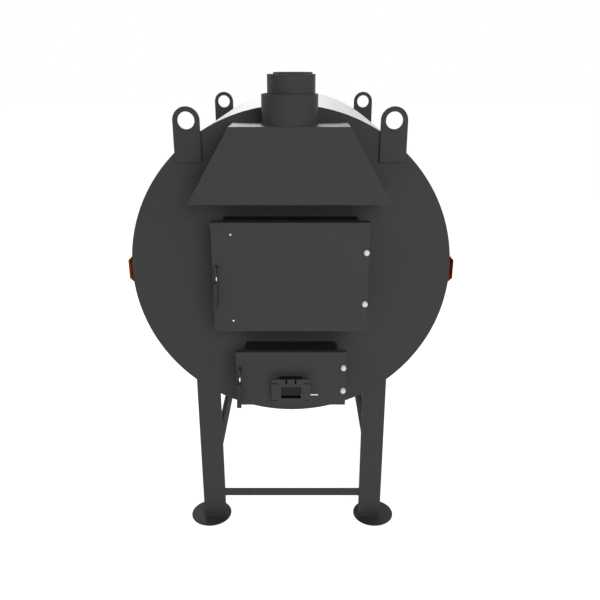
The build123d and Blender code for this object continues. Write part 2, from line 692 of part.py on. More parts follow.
# Ash pan: a drawer in the ash tunnel with a bar to pull it by
with BuildPart() as ash_pan:
    with Locations((0, PAN_FRONT_Y + PAN_LENGTH / 2, PAN_FLOOR_Z + PAN_H / 2)):
        Box(PAN_W, PAN_LENGTH, PAN_H)
    with Locations((0, PAN_FRONT_Y + PAN_LENGTH / 2, PAN_FLOOR_Z + PAN_T + PAN_H / 2)):
        Box(PAN_W - 2 * PAN_T, PAN_LENGTH - 2 * PAN_T, PAN_H, mode=Mode.SUBTRACT)
    for side in SIDES:
        with BuildSketch(facing(PAN_FRONT_Y)):
            with Locations((side * PAN_PULL_W / 2, PAN_FLOOR_Z + PAN_H / 2)):
                Circle(PAN_PULL_R)
        extrude(amount=PAN_PULL_REACH)
    with BuildSketch(sideways(-PAN_PULL_W / 2)):
        with Locations((PAN_FRONT_Y - PAN_PULL_REACH, PAN_FLOOR_Z + PAN_H / 2)):
            Circle(PAN_PULL_R)
    extrude(amount=PAN_PULL_W)
ash_pan.part.label = "ash_pan"
export_step(ash_pan.part, "parts/ash_pan.step")

# What the two doors share: sizes of each door, its tunnel, its screws, hinge bolts and latch
Door = namedtuple("Door", "name width height z thickness tunnel_w tunnel_h "
                  "screws eyes pivot_rise pivot_depth")
FUEL_SCREW_X = FUEL_TUNNEL_W / 2 - FUEL_SCREW_SIDE_INSET
FUEL_SCREW_Z = FUEL_TUNNEL_H / 2 - FUEL_SCREW_END_INSET
FUEL_SCREWS = [(side * FUEL_SCREW_X, FUEL_Z + level * FUEL_SCREW_Z) for side in SIDES for level in SIDES]
FUEL_DOOR_W = FUEL_TUNNEL_W + 2 * DOOR_SIDE_LAP
FUEL_DOOR_H = FUEL_TUNNEL_H + 2 * FUEL_DOOR_LAP
ASH_DOOR_W = ASH_TUNNEL_W + 2 * DOOR_SIDE_LAP
ASH_DOOR_H = ASH_TUNNEL_H + 2 * ASH_DOOR_LAP
FUEL = Door("fuel", FUEL_DOOR_W, FUEL_DOOR_H, FUEL_Z, FUEL_DOOR_T, FUEL_TUNNEL_W, FUEL_TUNNEL_H,
            FUEL_SCREWS, FUEL_EYES, FUEL_PIVOT_RISE, FUEL_PIVOT_DEPTH)
ASH = Door("ash", ASH_DOOR_W, ASH_DOOR_H, ASH_Z, ASH_DOOR_T, ASH_TUNNEL_W, ASH_TUNNEL_H,
           [], ASH_EYES, ASH_PIVOT_RISE, ASH_PIVOT_DEPTH)
DOORS = (FUEL, ASH)
DOOR_REAR_Y = TUNNEL_FRONT_Y - DOOR_GAP
HINGE_Y = TUNNEL_FRONT_Y + HINGE_SETBACK


def door_front_y(door):
    """Front face of a door."""
    return TUNNEL_FRONT_Y - door.thickness


def hinge_x(door):
    """Hinge axis, beside the tunnel on the right."""
    return door.tunnel_w / 2 + HINGE_OFFSET


def latch_x(door):
    """Middle of the latch lever, beside the tunnel on the left."""
    return -door.tunnel_w / 2 - LATCH_OFFSET


def pivot(door):
    """Pivot of the latch lever as (y, z)."""
    return (door_front_y(door) + door.pivot_depth, door.z + door.pivot_rise)


# Tunnels: rounded square tubes from the doors through the front plate
for door, name in ((FUEL, "loading_tunnel"), (ASH, "ash_tunnel")):
    with BuildPart() as tunnel:
        with BuildSketch(facing(CASING_FRONT_Y)):
            with Locations((0, door.z)):
                RectangleRounded(door.tunnel_w, door.tunnel_h, TUNNEL_CORNER_R)
                RectangleRounded(door.tunnel_w - 2 * TUNNEL_WALL, door.tunnel_h - 2 * TUNNEL_WALL,
                                 TUNNEL_CORNER_R - TUNNEL_WALL, mode=Mode.SUBTRACT)
        extrude(amount=TUNNEL_REACH + END_PLATE_T)
    tunnel.part.label = name
    export_step(tunnel.part, f"parts/{name}.step")

# Damper duct on the ash door, which the door's sheet and liner are cut for
DUCT_H = DUCT_W
DUCT_Z = ASH_Z + DUCT_TOP - DUCT_H / 2
DAMPER_REAR_Y = door_front_y(ASH) - DUCT_REACH


def door_panel(door):
    """Tray with a rim, a seal channel on its back, and its holes for bolts, screws and the lever."""
    front_y = door_front_y(door)
    channel_w = SEAL_W + 2 * CHANNEL_WALL
    mid_w = door.tunnel_w - TUNNEL_WALL
    mid_h = door.tunnel_h - TUNNEL_WALL
    pivot_y, pivot_z = pivot(door)
    with BuildPart() as panel:
        with BuildSketch(facing(DOOR_REAR_Y)):
            with Locations((0, door.z)):
                Rectangle(door.width, door.height)
        extrude(amount=DOOR_REAR_Y - front_y)
        with BuildSketch(facing(DOOR_REAR_Y)):
            with Locations((0, door.z)):
                Rectangle(door.width - 2 * DOOR_RIM, door.height - 2 * DOOR_RIM)
        extrude(amount=DOOR_REAR_Y - front_y - DOOR_SHEET, mode=Mode.SUBTRACT)
        with BuildSketch(facing(DOOR_REAR_Y - CHANNEL_SETBACK)):
            with Locations((0, door.z)):
                Rectangle(mid_w + channel_w, mid_h + channel_w)
                Rectangle(mid_w + SEAL_W, mid_h + SEAL_W, mode=Mode.SUBTRACT)
                Rectangle(mid_w - SEAL_W, mid_h - SEAL_W)
                Rectangle(mid_w - channel_w, mid_h - channel_w, mode=Mode.SUBTRACT)
        extrude(until=Until.NEXT)
        with BuildSketch(facing(DOOR_REAR_Y - SEAL_T)):
            with Locations((0, door.z)):
                Rectangle(mid_w + SEAL_W, mid_h + SEAL_W)
                Rectangle(mid_w - SEAL_W, mid_h - SEAL_W, mode=Mode.SUBTRACT)
        extrude(amount=CHANNEL_WALL)
        with BuildSketch(facing(DOOR_REAR_Y)):
            with Locations(*[(hinge_x(door), door.z + rise) for rise in door.eyes]):
                Circle(THREAD_R)
            if door.screws:
                with Locations(*door.screws):
                    Circle(LINER_SCREW_R)
            with Locations((latch_x(door), pivot_z + (SLOT_TOP + SLOT_FOOT) / 2)):
                Rectangle(LEVER_T + 2 * SLOT_SIDE, SLOT_TOP - SLOT_FOOT)
            if door is ASH:
                with Locations((0, DUCT_Z)):
                    Rectangle(DUCT_W, DUCT_H)
        extrude(amount=DOOR_REAR_Y - front_y, mode=Mode.SUBTRACT)
        with BuildSketch(sideways(-door.width / 2)):
            with Locations((pivot_y, pivot_z)):
                Circle(LEVER_PIVOT_R)
        extrude(amount=DOOR_RIM, mode=Mode.SUBTRACT)
    return panel.part


def door_liner(door):
    """Fire brick slab that reaches a little way into the tunnel."""
    rear_y = TUNNEL_FRONT_Y + LINER_REACH
    inner_w = door.tunnel_w - 2 * TUNNEL_WALL - 2 * LINER_MARGIN
    inner_h = door.tunnel_h - 2 * TUNNEL_WALL - 2 * LINER_MARGIN
    with BuildPart() as liner:
        with BuildSketch(facing(rear_y)):
            with Locations((0, door.z)):
                Rectangle(inner_w, inner_h)
            if door.screws:
                with Locations(*door.screws):
                    Circle(LINER_SCREW_R, mode=Mode.SUBTRACT)
            if door is ASH:
                with Locations((0, DUCT_Z)):
                    Rectangle(DUCT_W, DUCT_H, mode=Mode.SUBTRACT)
        extrude(amount=rear_y - door_front_y(door) - DOOR_SHEET)
    return liner.part


def door_seal(door):
    """Rope seal in the channel, which the tunnel's front edge meets."""
    mid_w = door.tunnel_w - TUNNEL_WALL
    mid_h = door.tunnel_h - TUNNEL_WALL
    with BuildPart() as seal:
        with BuildSketch(facing(DOOR_REAR_Y)):
            with Locations((0, door.z)):
                Rectangle(mid_w + SEAL_W, mid_h + SEAL_W)
                Rectangle(mid_w - SEAL_W, mid_h - SEAL_W, mode=Mode.SUBTRACT)
        extrude(amount=SEAL_T)
    return seal.part


def hinge_eyebolts(door):
    """Eye bolts: an eye round each hinge pin, a shank to the door's sheet and a thread through it."""
    with BuildPart() as bolts:
        for rise in door.eyes:
            z = door.z + rise
            with BuildSketch(Plane.XY.offset(z - EYE_H / 2)):
                with Locations((hinge_x(door), HINGE_Y)):
                    Circle(EYE_R)
            extrude(amount=EYE_H)
            with BuildSketch(facing(HINGE_Y)):
                with Locations((hinge_x(door), z)):
                    Circle(SHANK_R)
            extrude(amount=HINGE_Y - door_front_y(door) - DOOR_SHEET)
            with BuildSketch(facing(HINGE_Y)):
                with Locations((hinge_x(door), z)):
                    Circle(THREAD_R)
            extrude(amount=HINGE_Y - door_front_y(door) + THREAD_END)
            with BuildSketch(Plane.XY.offset(z - EYE_H / 2)):
                with Locations((hinge_x(door), HINGE_Y)):
                    Circle(PIN_R + RUNNING_FIT)
            extrude(amount=EYE_H, mode=Mode.SUBTRACT)
    return bolts.part


def hinge_nuts(door):
    """Dome nuts on washers, on the door's face."""
    front_y = door_front_y(door)
    with BuildPart() as nuts:
        for rise in door.eyes:
            place = (hinge_x(door), door.z + rise)
            with BuildSketch(facing(front_y)):
                with Locations(place):
                    Circle(NUT_WASHER_R)
            extrude(amount=NUT_WASHER_T)
            with BuildSketch(facing(front_y - NUT_WASHER_T)):
                with Locations(place):
                    RegularPolygon(NUT_FLATS / 2, 6, major_radius=False)
            extrude(amount=NUT_H)
            with Locations((place[0], front_y - NUT_WASHER_T - NUT_H, place[1])):
                Sphere(NUT_DOME_R)
            with BuildSketch(facing(front_y)):
                with Locations(place):
                    Circle(THREAD_R)
            extrude(amount=THREAD_END, mode=Mode.SUBTRACT)
            with BuildSketch(facing(front_y + 2 * NUT_DOME_R)):
                with Locations(place):
                    Circle(2 * NUT_WASHER_R)
            extrude(amount=2 * NUT_DOME_R, mode=Mode.SUBTRACT)
    return nuts.part


def latch_lever(door):
    """Hook lever: an upturned nose behind the keeper, a hub on its bolt and a plate in front."""
    pivot_y, pivot_z = pivot(door)
    face = [(LEVER_FACE_Y, LEVER_FOOT), (LEVER_FACE_Y, LEVER_FACE_TOP),
            (LEVER_FACE_Y + LEVER_FACE_W, LEVER_FACE_TOP), (LEVER_WAIST_Y, LEVER_WAIST)]
    arm = [(-LEVER_HUB_Y, LEVER_HUB_TOP), (LEVER_HUB_Y, LEVER_HUB_TOP),
           (LEVER_ARM_Y, LEVER_ARM_TOP), (LEVER_NOSE_Y, LEVER_ARM_TOP)]
    nose = [(LEVER_NOSE_Y, LEVER_NOSE_TOP), (LEVER_END_Y - LEVER_END_CUT, LEVER_NOSE_TOP),
            (LEVER_END_Y, LEVER_NOSE_TOP - LEVER_END_CUT), (LEVER_END_Y, LEVER_FOOT + LEVER_END_CUT),
            (LEVER_END_Y - LEVER_END_CUT, LEVER_FOOT)]
    belly = [(LEVER_BELLY_Y, LEVER_FOOT), (-LEVER_HUB_Y, LEVER_HUB_FOOT),
             (LEVER_WAIST_Y, -LEVER_WAIST), (LEVER_WAIST_Y, LEVER_FOOT)]
    outline = face + arm + nose + belly
    with BuildPart() as lever:
        with BuildSketch(sideways(latch_x(door) - LEVER_T / 2)):
            with BuildLine():
                Polyline(*[(pivot_y + y, pivot_z + z) for y, z in outline], close=True)
            make_face()
            with Locations((pivot_y, pivot_z)):
                Circle(LEVER_PIVOT_R + RUNNING_FIT, mode=Mode.SUBTRACT)
        extrude(amount=LEVER_T)
    return lever.part


def latch_handle(door):
    """Neck and tapered grip that hang from the front of the lever."""
    pivot_y, pivot_z = pivot(door)
    y = pivot_y + LEVER_FACE_Y + GRIP_INSET
    neck_top = pivot_z + LEVER_FOOT
    grip_top = neck_top - NECK_H
    with BuildPart() as handle:
        with BuildSketch(Plane.XY.offset(grip_top)):
            with Locations((latch_x(door), y)):
                Circle(NECK_R)
        extrude(amount=NECK_H)
        with BuildSketch(Plane.XY.offset(grip_top - GRIP_H)):
            with Locations((latch_x(door), y)):
                Circle(GRIP_FOOT_R)
        with BuildSketch(Plane.XY.offset(grip_top)):
            with Locations((latch_x(door), y)):
                Circle(GRIP_TOP_R)
        loft()
        ends = handle.edges().filter_by(GeomType.CIRCLE).sort_by(Axis.Z)
        fillet(ends[0], radius=GRIP_END)
    return handle.part


def latch_bolt(door):
    """Bolt through the door's rim that the lever turns on, held in the seal channel's wall."""
    pivot_y, pivot_z = pivot(door)
    rim_x = -door.width / 2
    channel_x = -(door.tunnel_w - TUNNEL_WALL + SEAL_W) / 2 - CHANNEL_WALL
    with BuildPart() as bolt:
        with BuildSketch(sideways(rim_x)):
            with Locations((pivot_y, pivot_z)):
                Circle(LEVER_PIVOT_R)
        extrude(amount=channel_x - rim_x)
        with BuildSketch(sideways(rim_x - LATCH_HEAD_T)):
            with Locations((pivot_y, pivot_z)):
                Circle(LATCH_HEAD_R)
        extrude(amount=LATCH_HEAD_T)
    return bolt.part


PIECES = (("door_panel", door_panel), ("door_liner", door_liner), ("door_seal", door_seal),
          ("hinge_eyebolts", hinge_eyebolts), ("hinge_nuts", hinge_nuts), ("latch_lever", latch_lever),
          ("latch_handle", latch_handle), ("latch_bolt", latch_bolt))
for door in DOORS:
    for name, make in PIECES:
        piece = make(door)
        piece.label = f"{door.name}_{name}"
        export_step(piece, f"parts/{door.name}_{name}.step")

# Liner screws: hold the fire brick to the fuel door's sheet
with BuildPart() as fuel_liner_screws:
    with BuildSketch(facing(TUNNEL_FRONT_Y + LINER_REACH)):
        with Locations(*FUEL_SCREWS):
            Circle(LINER_SCREW_R)
    extrude(amount=LINER_REACH + FUEL_DOOR_T)
    with BuildSketch(facing(door_front_y(FUEL))):
        with Locations(*FUEL_SCREWS):
            Circle(LINER_SCREW_HEAD_R)
    extrude(amount=LINER_SCREW_HEAD_T)
fuel_liner_screws.part.label = "fuel_liner_screws"
export_step(fuel_liner_screws.part, "parts/fuel_liner_screws.step")

# Hinge brackets: forks welded to the tunnels' right sides, one for each eye bolt
EYE_PLACES = [(door, door.z + rise) for door in DOORS for rise in door.eyes]
EAR_GAP = EYE_H / 2 + EYE_SIDE_GAP
with BuildPart() as hinge_brackets:
    for door, z in EYE_PLACES:
        wall_x = door.tunnel_w / 2
        with Locations((wall_x + EAR_BACK_T / 2, HINGE_Y, z)):
            Box(EAR_BACK_T, EAR_W, 2 * (EAR_GAP + EAR_T))
        for level in SIDES:
            with Locations((wall_x + EAR_REACH / 2, HINGE_Y, z + level * (EAR_GAP + EAR_T / 2))):
                Box(EAR_REACH, EAR_W, EAR_T)
            with Locations((wall_x + HINGE_OFFSET, HINGE_Y, z + level * (EAR_GAP + EAR_T / 2))):
                Cylinder(PIN_R, EAR_T, mode=Mode.SUBTRACT)
hinge_brackets.part.label = "hinge_brackets"
export_step(hinge_brackets.part, "parts/hinge_brackets.step")

# Hinge pins: headed pins in the forks
with BuildPart() as hinge_pins:
    for door, z in EYE_PLACES:
        with Locations((hinge_x(door), HINGE_Y, z)):
            Cylinder(PIN_R, 2 * (EAR_GAP + EAR_T))
        with Locations((hinge_x(door), HINGE_Y, z + EAR_GAP + EAR_T + PIN_HEAD_T / 2)):
            Cylinder(PIN_HEAD_R, PIN_HEAD_T)
hinge_pins.part.label = "hinge_pins"
export_step(hinge_pins.part, "parts/hinge_pins.step")

# Latch keepers: pins on the tunnels' left sides that the lever noses hook behind
KEEPER_LENGTH = LATCH_OFFSET + LEVER_T / 2 + KEEPER_PAST_LEVER
with BuildPart() as latch_keepers:
    for door in DOORS:
        pivot_y, pivot_z = pivot(door)
        with BuildSketch(sideways(-door.tunnel_w / 2 - KEEPER_LENGTH)):
            with Locations((pivot_y + LEVER_NOSE_Y - KEEPER_GAP - KEEPER_R,
                            pivot_z + LEVER_ARM_TOP + KEEPER_GAP + KEEPER_R)):
                Circle(KEEPER_R)
        extrude(amount=KEEPER_LENGTH)
latch_keepers.part.label = "latch_keepers"
export_step(latch_keepers.part, "parts/latch_keepers.step")

# Damper housing: a square duct through the ash door, with a slotted face plate in front
ROD_Y = DAMPER_REAR_Y + ROD_SETBACK
ROD_Z = DUCT_Z + DUCT_H / 2 - ROD_DROP
DAMPER_FACE_Z = ASH_Z + DAMPER_FACE_TOP - DAMPER_FACE_H / 2
WINDOW_Z = ASH_Z - WINDOW_TOP - WINDOW_H / 2
with BuildPart() as damper_housing:
    with BuildSketch(facing(TUNNEL_FRONT_Y + LINER_REACH)):
        with Locations((0, DUCT_Z)):
            Rectangle(DUCT_W, DUCT_H)
            Rectangle(DUCT_W - 2 * DUCT_WALL, DUCT_H - 2 * DUCT_WALL, mode=Mode.SUBTRACT)
    extrude(amount=TUNNEL_FRONT_Y + LINER_REACH - DAMPER_REAR_Y)
    with BuildSketch(facing(DAMPER_REAR_Y)):
        with Locations((0, DAMPER_FACE_Z)):
            Rectangle(DAMPER_FACE_W, DAMPER_FACE_H)
        with Locations((0, WINDOW_Z)):
            Rectangle(WINDOW_W, WINDOW_H, mode=Mode.SUBTRACT)
        for side in SIDES:
            for rise in SLOT_PLACES:
                with Locations((side * (DAMPER_FACE_W - SLOT_LENGTH) / 2, DAMPER_FACE_Z + rise)):
                    Rectangle(SLOT_LENGTH, SLOT_W, mode=Mode.SUBTRACT)
            with Locations((side * NOTCH_X, DAMPER_FACE_Z + (DAMPER_FACE_H - NOTCH_H) / 2)):
                Rectangle(NOTCH_W, NOTCH_H, mode=Mode.SUBTRACT)
    extrude(amount=DAMPER_FACE_T)
    with BuildSketch(sideways(-DUCT_W / 2)):
        with Locations((ROD_Y, ROD_Z)):
            Circle(ROD_R + RUNNING_FIT)
    extrude(amount=DUCT_W, mode=Mode.SUBTRACT)
damper_housing.part.label = "damper_housing"
export_step(damper_housing.part, "parts/damper_housing.step")

# Damper rod: turns in the duct's side walls and sticks out on the right to be turned by hand
with BuildPart() as damper_rod:
    with BuildSketch(sideways(-DUCT_W / 2 - ROD_END_REACH)):
        with Locations((ROD_Y, ROD_Z)):
            Circle(ROD_R)
    extrude(amount=ROD_END_REACH + DUCT_W + ROD_PULL_REACH)
damper_rod.part.label = "damper_rod"
export_step(damper_rod.part, "parts/damper_rod.step")

# Damper flap: a plate rolled round the rod at its foot, which stands behind the window when shut
FLAP_W = DUCT_W - 2 * DUCT_WALL - 2 * FLAP_SIDE_GAP
with BuildPart() as damper_flap:
    with BuildSketch(sideways(-FLAP_W / 2)):
        with Locations((ROD_Y - ROD_R - FLAP_T / 2, ROD_Z + (ROD_R + FLAP_H) / 2)):
            Rectangle(FLAP_T, ROD_R + FLAP_H)
        with Locations((ROD_Y, ROD_Z)):
            Circle(ROD_R + FLAP_T)
            Circle(ROD_R, mode=Mode.SUBTRACT)
    extrude(amount=FLAP_W)
damper_flap.part.label = "damper_flap"
export_step(damper_flap.part, "parts/damper_flap.step")

# Outlet spigot: a flanged collar for the warm air duct
with BuildPart() as outlet_spigot:
    for radius, length in ((OUTLET_R + FLANGE_W, FLANGE_T), (OUTLET_R, OUTLET_LENGTH)):
        with BuildSketch(facing(REAR_Y + length)):
            with Locations((0, OUTLET_Z)):
                Circle(radius)
                Circle(OUTLET_R - OUTLET_T, mode=Mode.SUBTRACT)
        extrude(amount=length)
outlet_spigot.part.label = "outlet_spigot"
export_step(outlet_spigot.part, "parts/outlet_spigot.step")

# Fan ring: a flanged collar round the impeller and the motor
SPIDER_Y = HUB_START + HUB_H + SPIDER_GAP
FAN_LENGTH = SPIDER_Y + SPIDER_T + MOTOR_LENGTH + FAN_END_GAP
with BuildPart() as fan_ring:
    for radius, length in ((FAN_R + FLANGE_W, FLANGE_T), (FAN_R, FAN_LENGTH)):
        with BuildSketch(facing(REAR_Y + length)):
            with Locations((0, FAN_Z)):
                Circle(radius)
                Circle(FAN_R - FAN_T, mode=Mode.SUBTRACT)
        extrude(amount=length)
fan_ring.part.label = "fan_ring"
export_step(fan_ring.part, "parts/fan_ring.step")

# Fan guard: wire rings on crossing wires, on a flat rim round the fan ring's mouth
GUARD_Y = REAR_Y + FAN_LENGTH
with BuildPart() as fan_guard:
    with BuildSketch(facing(GUARD_Y + GUARD_DEPTH)):
        with Locations((0, FAN_Z)):
            Circle(FAN_R)
            Circle(FAN_R - FAN_T, mode=Mode.SUBTRACT)
    extrude(amount=GUARD_DEPTH)
    with BuildSketch(facing(GUARD_Y + GUARD_WIRE)):
        with Locations((0, FAN_Z)):
            for turn in range(GUARD_SPOKES // 2):
                Rectangle(2 * FAN_R - FAN_T, GUARD_WIRE, rotation=turn * 360 / GUARD_SPOKES)
    extrude(amount=GUARD_WIRE)
    with BuildSketch(facing(GUARD_Y + 2 * GUARD_WIRE)):
        with Locations((0, FAN_Z)):
            for radius in GUARD_RINGS:
                Circle(radius + GUARD_WIRE / 2)
                Circle(radius - GUARD_WIRE / 2, mode=Mode.SUBTRACT)
    extrude(amount=GUARD_WIRE)
fan_guard.part.label = "fan_guard"
export_step(fan_guard.part, "parts/fan_guard.step")

# Fan spider: a hub plate on four arms that carries the motor inside the ring
with BuildPart() as fan_spider:
    with BuildSketch(facing(REAR_Y + SPIDER_Y + SPIDER_T)):
        with Locations((0, FAN_Z)):
            Circle(SPIDER_HUB_R)
            for turn in range(SPIDER_ARMS // 2):
                Rectangle(2 * FAN_R, SPIDER_ARM_W, rotation=45 + turn * 360 / SPIDER_ARMS)
            Circle(FAN_R - FAN_T, mode=Mode.INTERSECT)
            Circle(SPIDER_BORE_R, mode=Mode.SUBTRACT)
    extrude(amount=SPIDER_T)
fan_spider.part.label = "fan_spider"
export_step(fan_spider.part, "parts/fan_spider.step")

# Fan motor: a round motor with a terminal box and a cable gland
MOTOR_Y = REAR_Y + SPIDER_Y + SPIDER_T
SHAFT_END_Y = MOTOR_Y + SHAFT_INTO_MOTOR
with BuildPart() as fan_motor:
    with BuildSketch(facing(MOTOR_Y + MOTOR_LENGTH)):
        with Locations((0, FAN_Z)):
            Circle(MOTOR_R)
    extrude(amount=MOTOR_LENGTH)
    rear_edges = fan_motor.edges().filter_by(GeomType.CIRCLE).sort_by(Axis.Y)
    fillet(rear_edges[-1], radius=MOTOR_EDGE_R)
    box_w, box_l, box_h = MOTOR_BOX
    with Locations((0, MOTOR_Y + MOTOR_LENGTH / 2, FAN_Z + MOTOR_R + box_h / 2 - MOTOR_BOX_SINK)):
        Box(box_w, box_l, box_h + MOTOR_BOX_SINK)
    with BuildSketch(sideways(box_w / 2)):
        with Locations((MOTOR_Y + MOTOR_LENGTH / 2, FAN_Z + MOTOR_R + box_h / 2)):
            RegularPolygon(GLAND_R, 6)
    extrude(amount=GLAND_LENGTH)
    with BuildSketch(facing(SHAFT_END_Y)):
        with Locations((0, FAN_Z)):
            Circle(SHAFT_R + RUNNING_FIT)
    extrude(amount=SHAFT_INTO_MOTOR, mode=Mode.SUBTRACT)
fan_motor.part.label = "fan_motor"
export_step(fan_motor.part, "parts/fan_motor.step")

# Fan shaft: turns in the motor and carries the impeller
with BuildPart() as fan_shaft:
    with BuildSketch(facing(SHAFT_END_Y - DOOR_GAP)):
        with Locations((0, FAN_Z)):
            Circle(SHAFT_R)
    extrude(amount=SHAFT_END_Y - DOOR_GAP - REAR_Y - SHAFT_START)
fan_shaft.part.label = "fan_shaft"
export_step(fan_shaft.part, "parts/fan_shaft.step")

# Fan impeller: pitched blades on a hub
BLADE_TIP_R = FAN_R - FAN_T - BLADE_TIP_GAP
HUB_MID_Y = REAR_Y + HUB_START + HUB_H / 2
BLADE_LENGTH = BLADE_TIP_R - HUB_R / 2
with BuildPart() as fan_impeller:
    for turn in range(BLADES):
        place = Pos(0, HUB_MID_Y, FAN_Z) * Rot(0, turn * 360 / BLADES, 0)
        with Locations(place * Pos(HUB_R / 2 + BLADE_LENGTH / 2, 0, 0) * Rot(BLADE_PITCH, 0, 0)):
            Box(BLADE_LENGTH, BLADE_T, BLADE_CHORD)
    with BuildSketch(facing(HUB_MID_Y + HUB_H)):
        with Locations((0, FAN_Z)):
            Circle(BLADE_TIP_R)
    extrude(amount=2 * HUB_H, mode=Mode.INTERSECT)
    with BuildSketch(facing(HUB_MID_Y + HUB_H / 2)):
        with Locations((0, FAN_Z)):
            Circle(HUB_R)
    extrude(amount=HUB_H)
    with BuildSketch(facing(HUB_MID_Y + HUB_H)):
        with Locations((0, FAN_Z)):
            Circle(SHAFT_R)
    extrude(amount=2 * HUB_H, mode=Mode.SUBTRACT)
fan_impeller.part.label = "fan_impeller"
export_step(fan_impeller.part, "parts/fan_impeller.step")
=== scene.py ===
import json
from math import cos, pi, radians, sin

import bmesh
import bpy
from mathutils import Matrix, Vector

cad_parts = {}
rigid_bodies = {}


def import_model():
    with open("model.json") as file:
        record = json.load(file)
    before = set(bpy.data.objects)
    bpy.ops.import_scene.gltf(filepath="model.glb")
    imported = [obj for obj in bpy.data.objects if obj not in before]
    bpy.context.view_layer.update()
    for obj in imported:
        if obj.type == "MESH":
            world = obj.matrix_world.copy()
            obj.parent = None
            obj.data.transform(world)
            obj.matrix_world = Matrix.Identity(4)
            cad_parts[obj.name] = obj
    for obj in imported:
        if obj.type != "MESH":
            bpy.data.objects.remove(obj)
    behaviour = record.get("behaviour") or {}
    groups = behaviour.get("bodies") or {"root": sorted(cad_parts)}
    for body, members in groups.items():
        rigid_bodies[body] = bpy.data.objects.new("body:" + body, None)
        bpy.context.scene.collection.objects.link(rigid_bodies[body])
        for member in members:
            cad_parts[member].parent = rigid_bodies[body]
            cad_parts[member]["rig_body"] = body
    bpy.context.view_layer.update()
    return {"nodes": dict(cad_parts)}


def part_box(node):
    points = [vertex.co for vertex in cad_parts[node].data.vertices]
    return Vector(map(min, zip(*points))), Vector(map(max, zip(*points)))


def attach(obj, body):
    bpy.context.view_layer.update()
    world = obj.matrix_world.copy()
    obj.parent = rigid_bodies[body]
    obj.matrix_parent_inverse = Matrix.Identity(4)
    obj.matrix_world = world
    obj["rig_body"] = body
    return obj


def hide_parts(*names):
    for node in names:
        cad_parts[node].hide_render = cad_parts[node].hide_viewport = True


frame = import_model()
scene = bpy.context.scene

# Camera: stands in front of the doors, a little to the right, and looks down on the heater.
# Its height, distance and tilt are those of the photograph, whose frame is square.
CAMERA_PLACE = (0.0342, -2.947, 1.8682)
CAMERA_TILT = radians(20.05)
LENS_MM = 38.92
SENSOR_MM = 36.0
lens = bpy.data.cameras.new("camera")
lens.lens = LENS_MM
lens.sensor_width = SENSOR_MM
camera = bpy.data.objects.new("camera", lens)
camera.location = CAMERA_PLACE
camera.rotation_euler = (pi / 2 - CAMERA_TILT, 0.0, 0.0)
scene.collection.objects.link(camera)
scene.camera = camera
scene.view_settings.view_transform = "Standard"

# Studio: white surroundings, a broad soft lamp in front and to the right, and one high behind that
# shines on the tops. A small lamp on the left shapes the round pieces.
AMBIENT = 0.30
HEATER_MIDDLE = (0.0, 0.0, 1.1)


def seen_directly(tree):
    """1 for camera, gloss and glass rays, which see plain white, and 0 for the lighting itself."""
    path = tree.nodes.new("ShaderNodeLightPath")
    either = tree.nodes.new("ShaderNodeMath")
    either.operation = "MAXIMUM"
    any_of = tree.nodes.new("ShaderNodeMath")
    any_of.operation = "MAXIMUM"
    tree.links.new(path.outputs["Is Camera Ray"], either.inputs[0])
    tree.links.new(path.outputs["Is Glossy Ray"], either.inputs[1])
    tree.links.new(either.outputs[0], any_of.inputs[0])
    tree.links.new(path.outputs["Is Transmission Ray"], any_of.inputs[1])
    return any_of.outputs[0]


WHITE = (1.0, 1.0, 1.0, 1.0)
world = bpy.data.worlds.new("studio")
scene.world = world
world.use_nodes = True
tree = world.node_tree
tree.nodes.clear()
ambient = tree.nodes.new("ShaderNodeBackground")
ambient.inputs["Strength"].default_value = AMBIENT
ambient.inputs["Color"].default_value = WHITE
white = tree.nodes.new("ShaderNodeBackground")
white.inputs["Strength"].default_value = 1.0
white.inputs["Color"].default_value = WHITE
choice = tree.nodes.new("ShaderNodeMixShader")
surroundings = tree.nodes.new("ShaderNodeOutputWorld")
tree.links.new(seen_directly(tree), choice.inputs["Fac"])
tree.links.new(ambient.outputs[0], choice.inputs[1])
tree.links.new(white.outputs[0], choice.inputs[2])
tree.links.new(choice.outputs[0], surroundings.inputs["Surface"])


def soft_lamp(name, place, size, watts, shines):
    """Square area lamp at place, aimed at the heater. It shows in gloss only where shines is true."""
    light = bpy.data.lights.new(name, "AREA")
    light.shape = "SQUARE"
    light.size = size
    light.energy = watts
    lamp = bpy.data.objects.new(name, light)
    lamp.location = place
    aim = Vector(HEATER_MIDDLE) - Vector(place)
    lamp.rotation_euler = aim.to_track_quat("-Z", "Y").to_euler()
    lamp.visible_camera = False
    lamp.visible_glossy = shines
    scene.collection.objects.link(lamp)


soft_lamp("lamp_front", (1.5, -5.6, 2.9), 2.6, 235.0, False)
soft_lamp("lamp_behind", (-0.5, 3.4, 4.1), 2.2, 112.0, True)
soft_lamp("lamp_left", (-3.3, 0.8, 2.2), 1.2, 16.0, True)

# Floor: a plain white sheet that keeps a faint shadow of the heater.
# What the camera sees of it glows, so that it stays white away from the heater.
FLOOR_DROP = 0.0008
FLOOR_HALF = 30.0
FLOOR_GLOW = 0.88
FLOOR_LIT = (0.80, 0.80, 0.80, 1.0)
FLOOR_SEEN = (0.42, 0.42, 0.42, 1.0)
bm = bmesh.new()
bmesh.ops.create_grid(bm, x_segments=1, y_segments=1, size=FLOOR_HALF)
bmesh.ops.translate(bm, verts=bm.verts, vec=(0.0, 0.0, -FLOOR_DROP))
floor_mesh = bpy.data.meshes.new("floor")
bm.to_mesh(floor_mesh)
bm.free()
floor = bpy.data.objects.new("floor", floor_mesh)
scene.collection.objects.link(floor)
floor_sheet = bpy.data.materials.new("floor sheet")
floor_sheet.use_nodes = True
tree = floor_sheet.node_tree
tree.nodes.clear()
matt = tree.nodes.new("ShaderNodeBsdfDiffuse")
matt.inputs["Color"].default_value = FLOOR_LIT
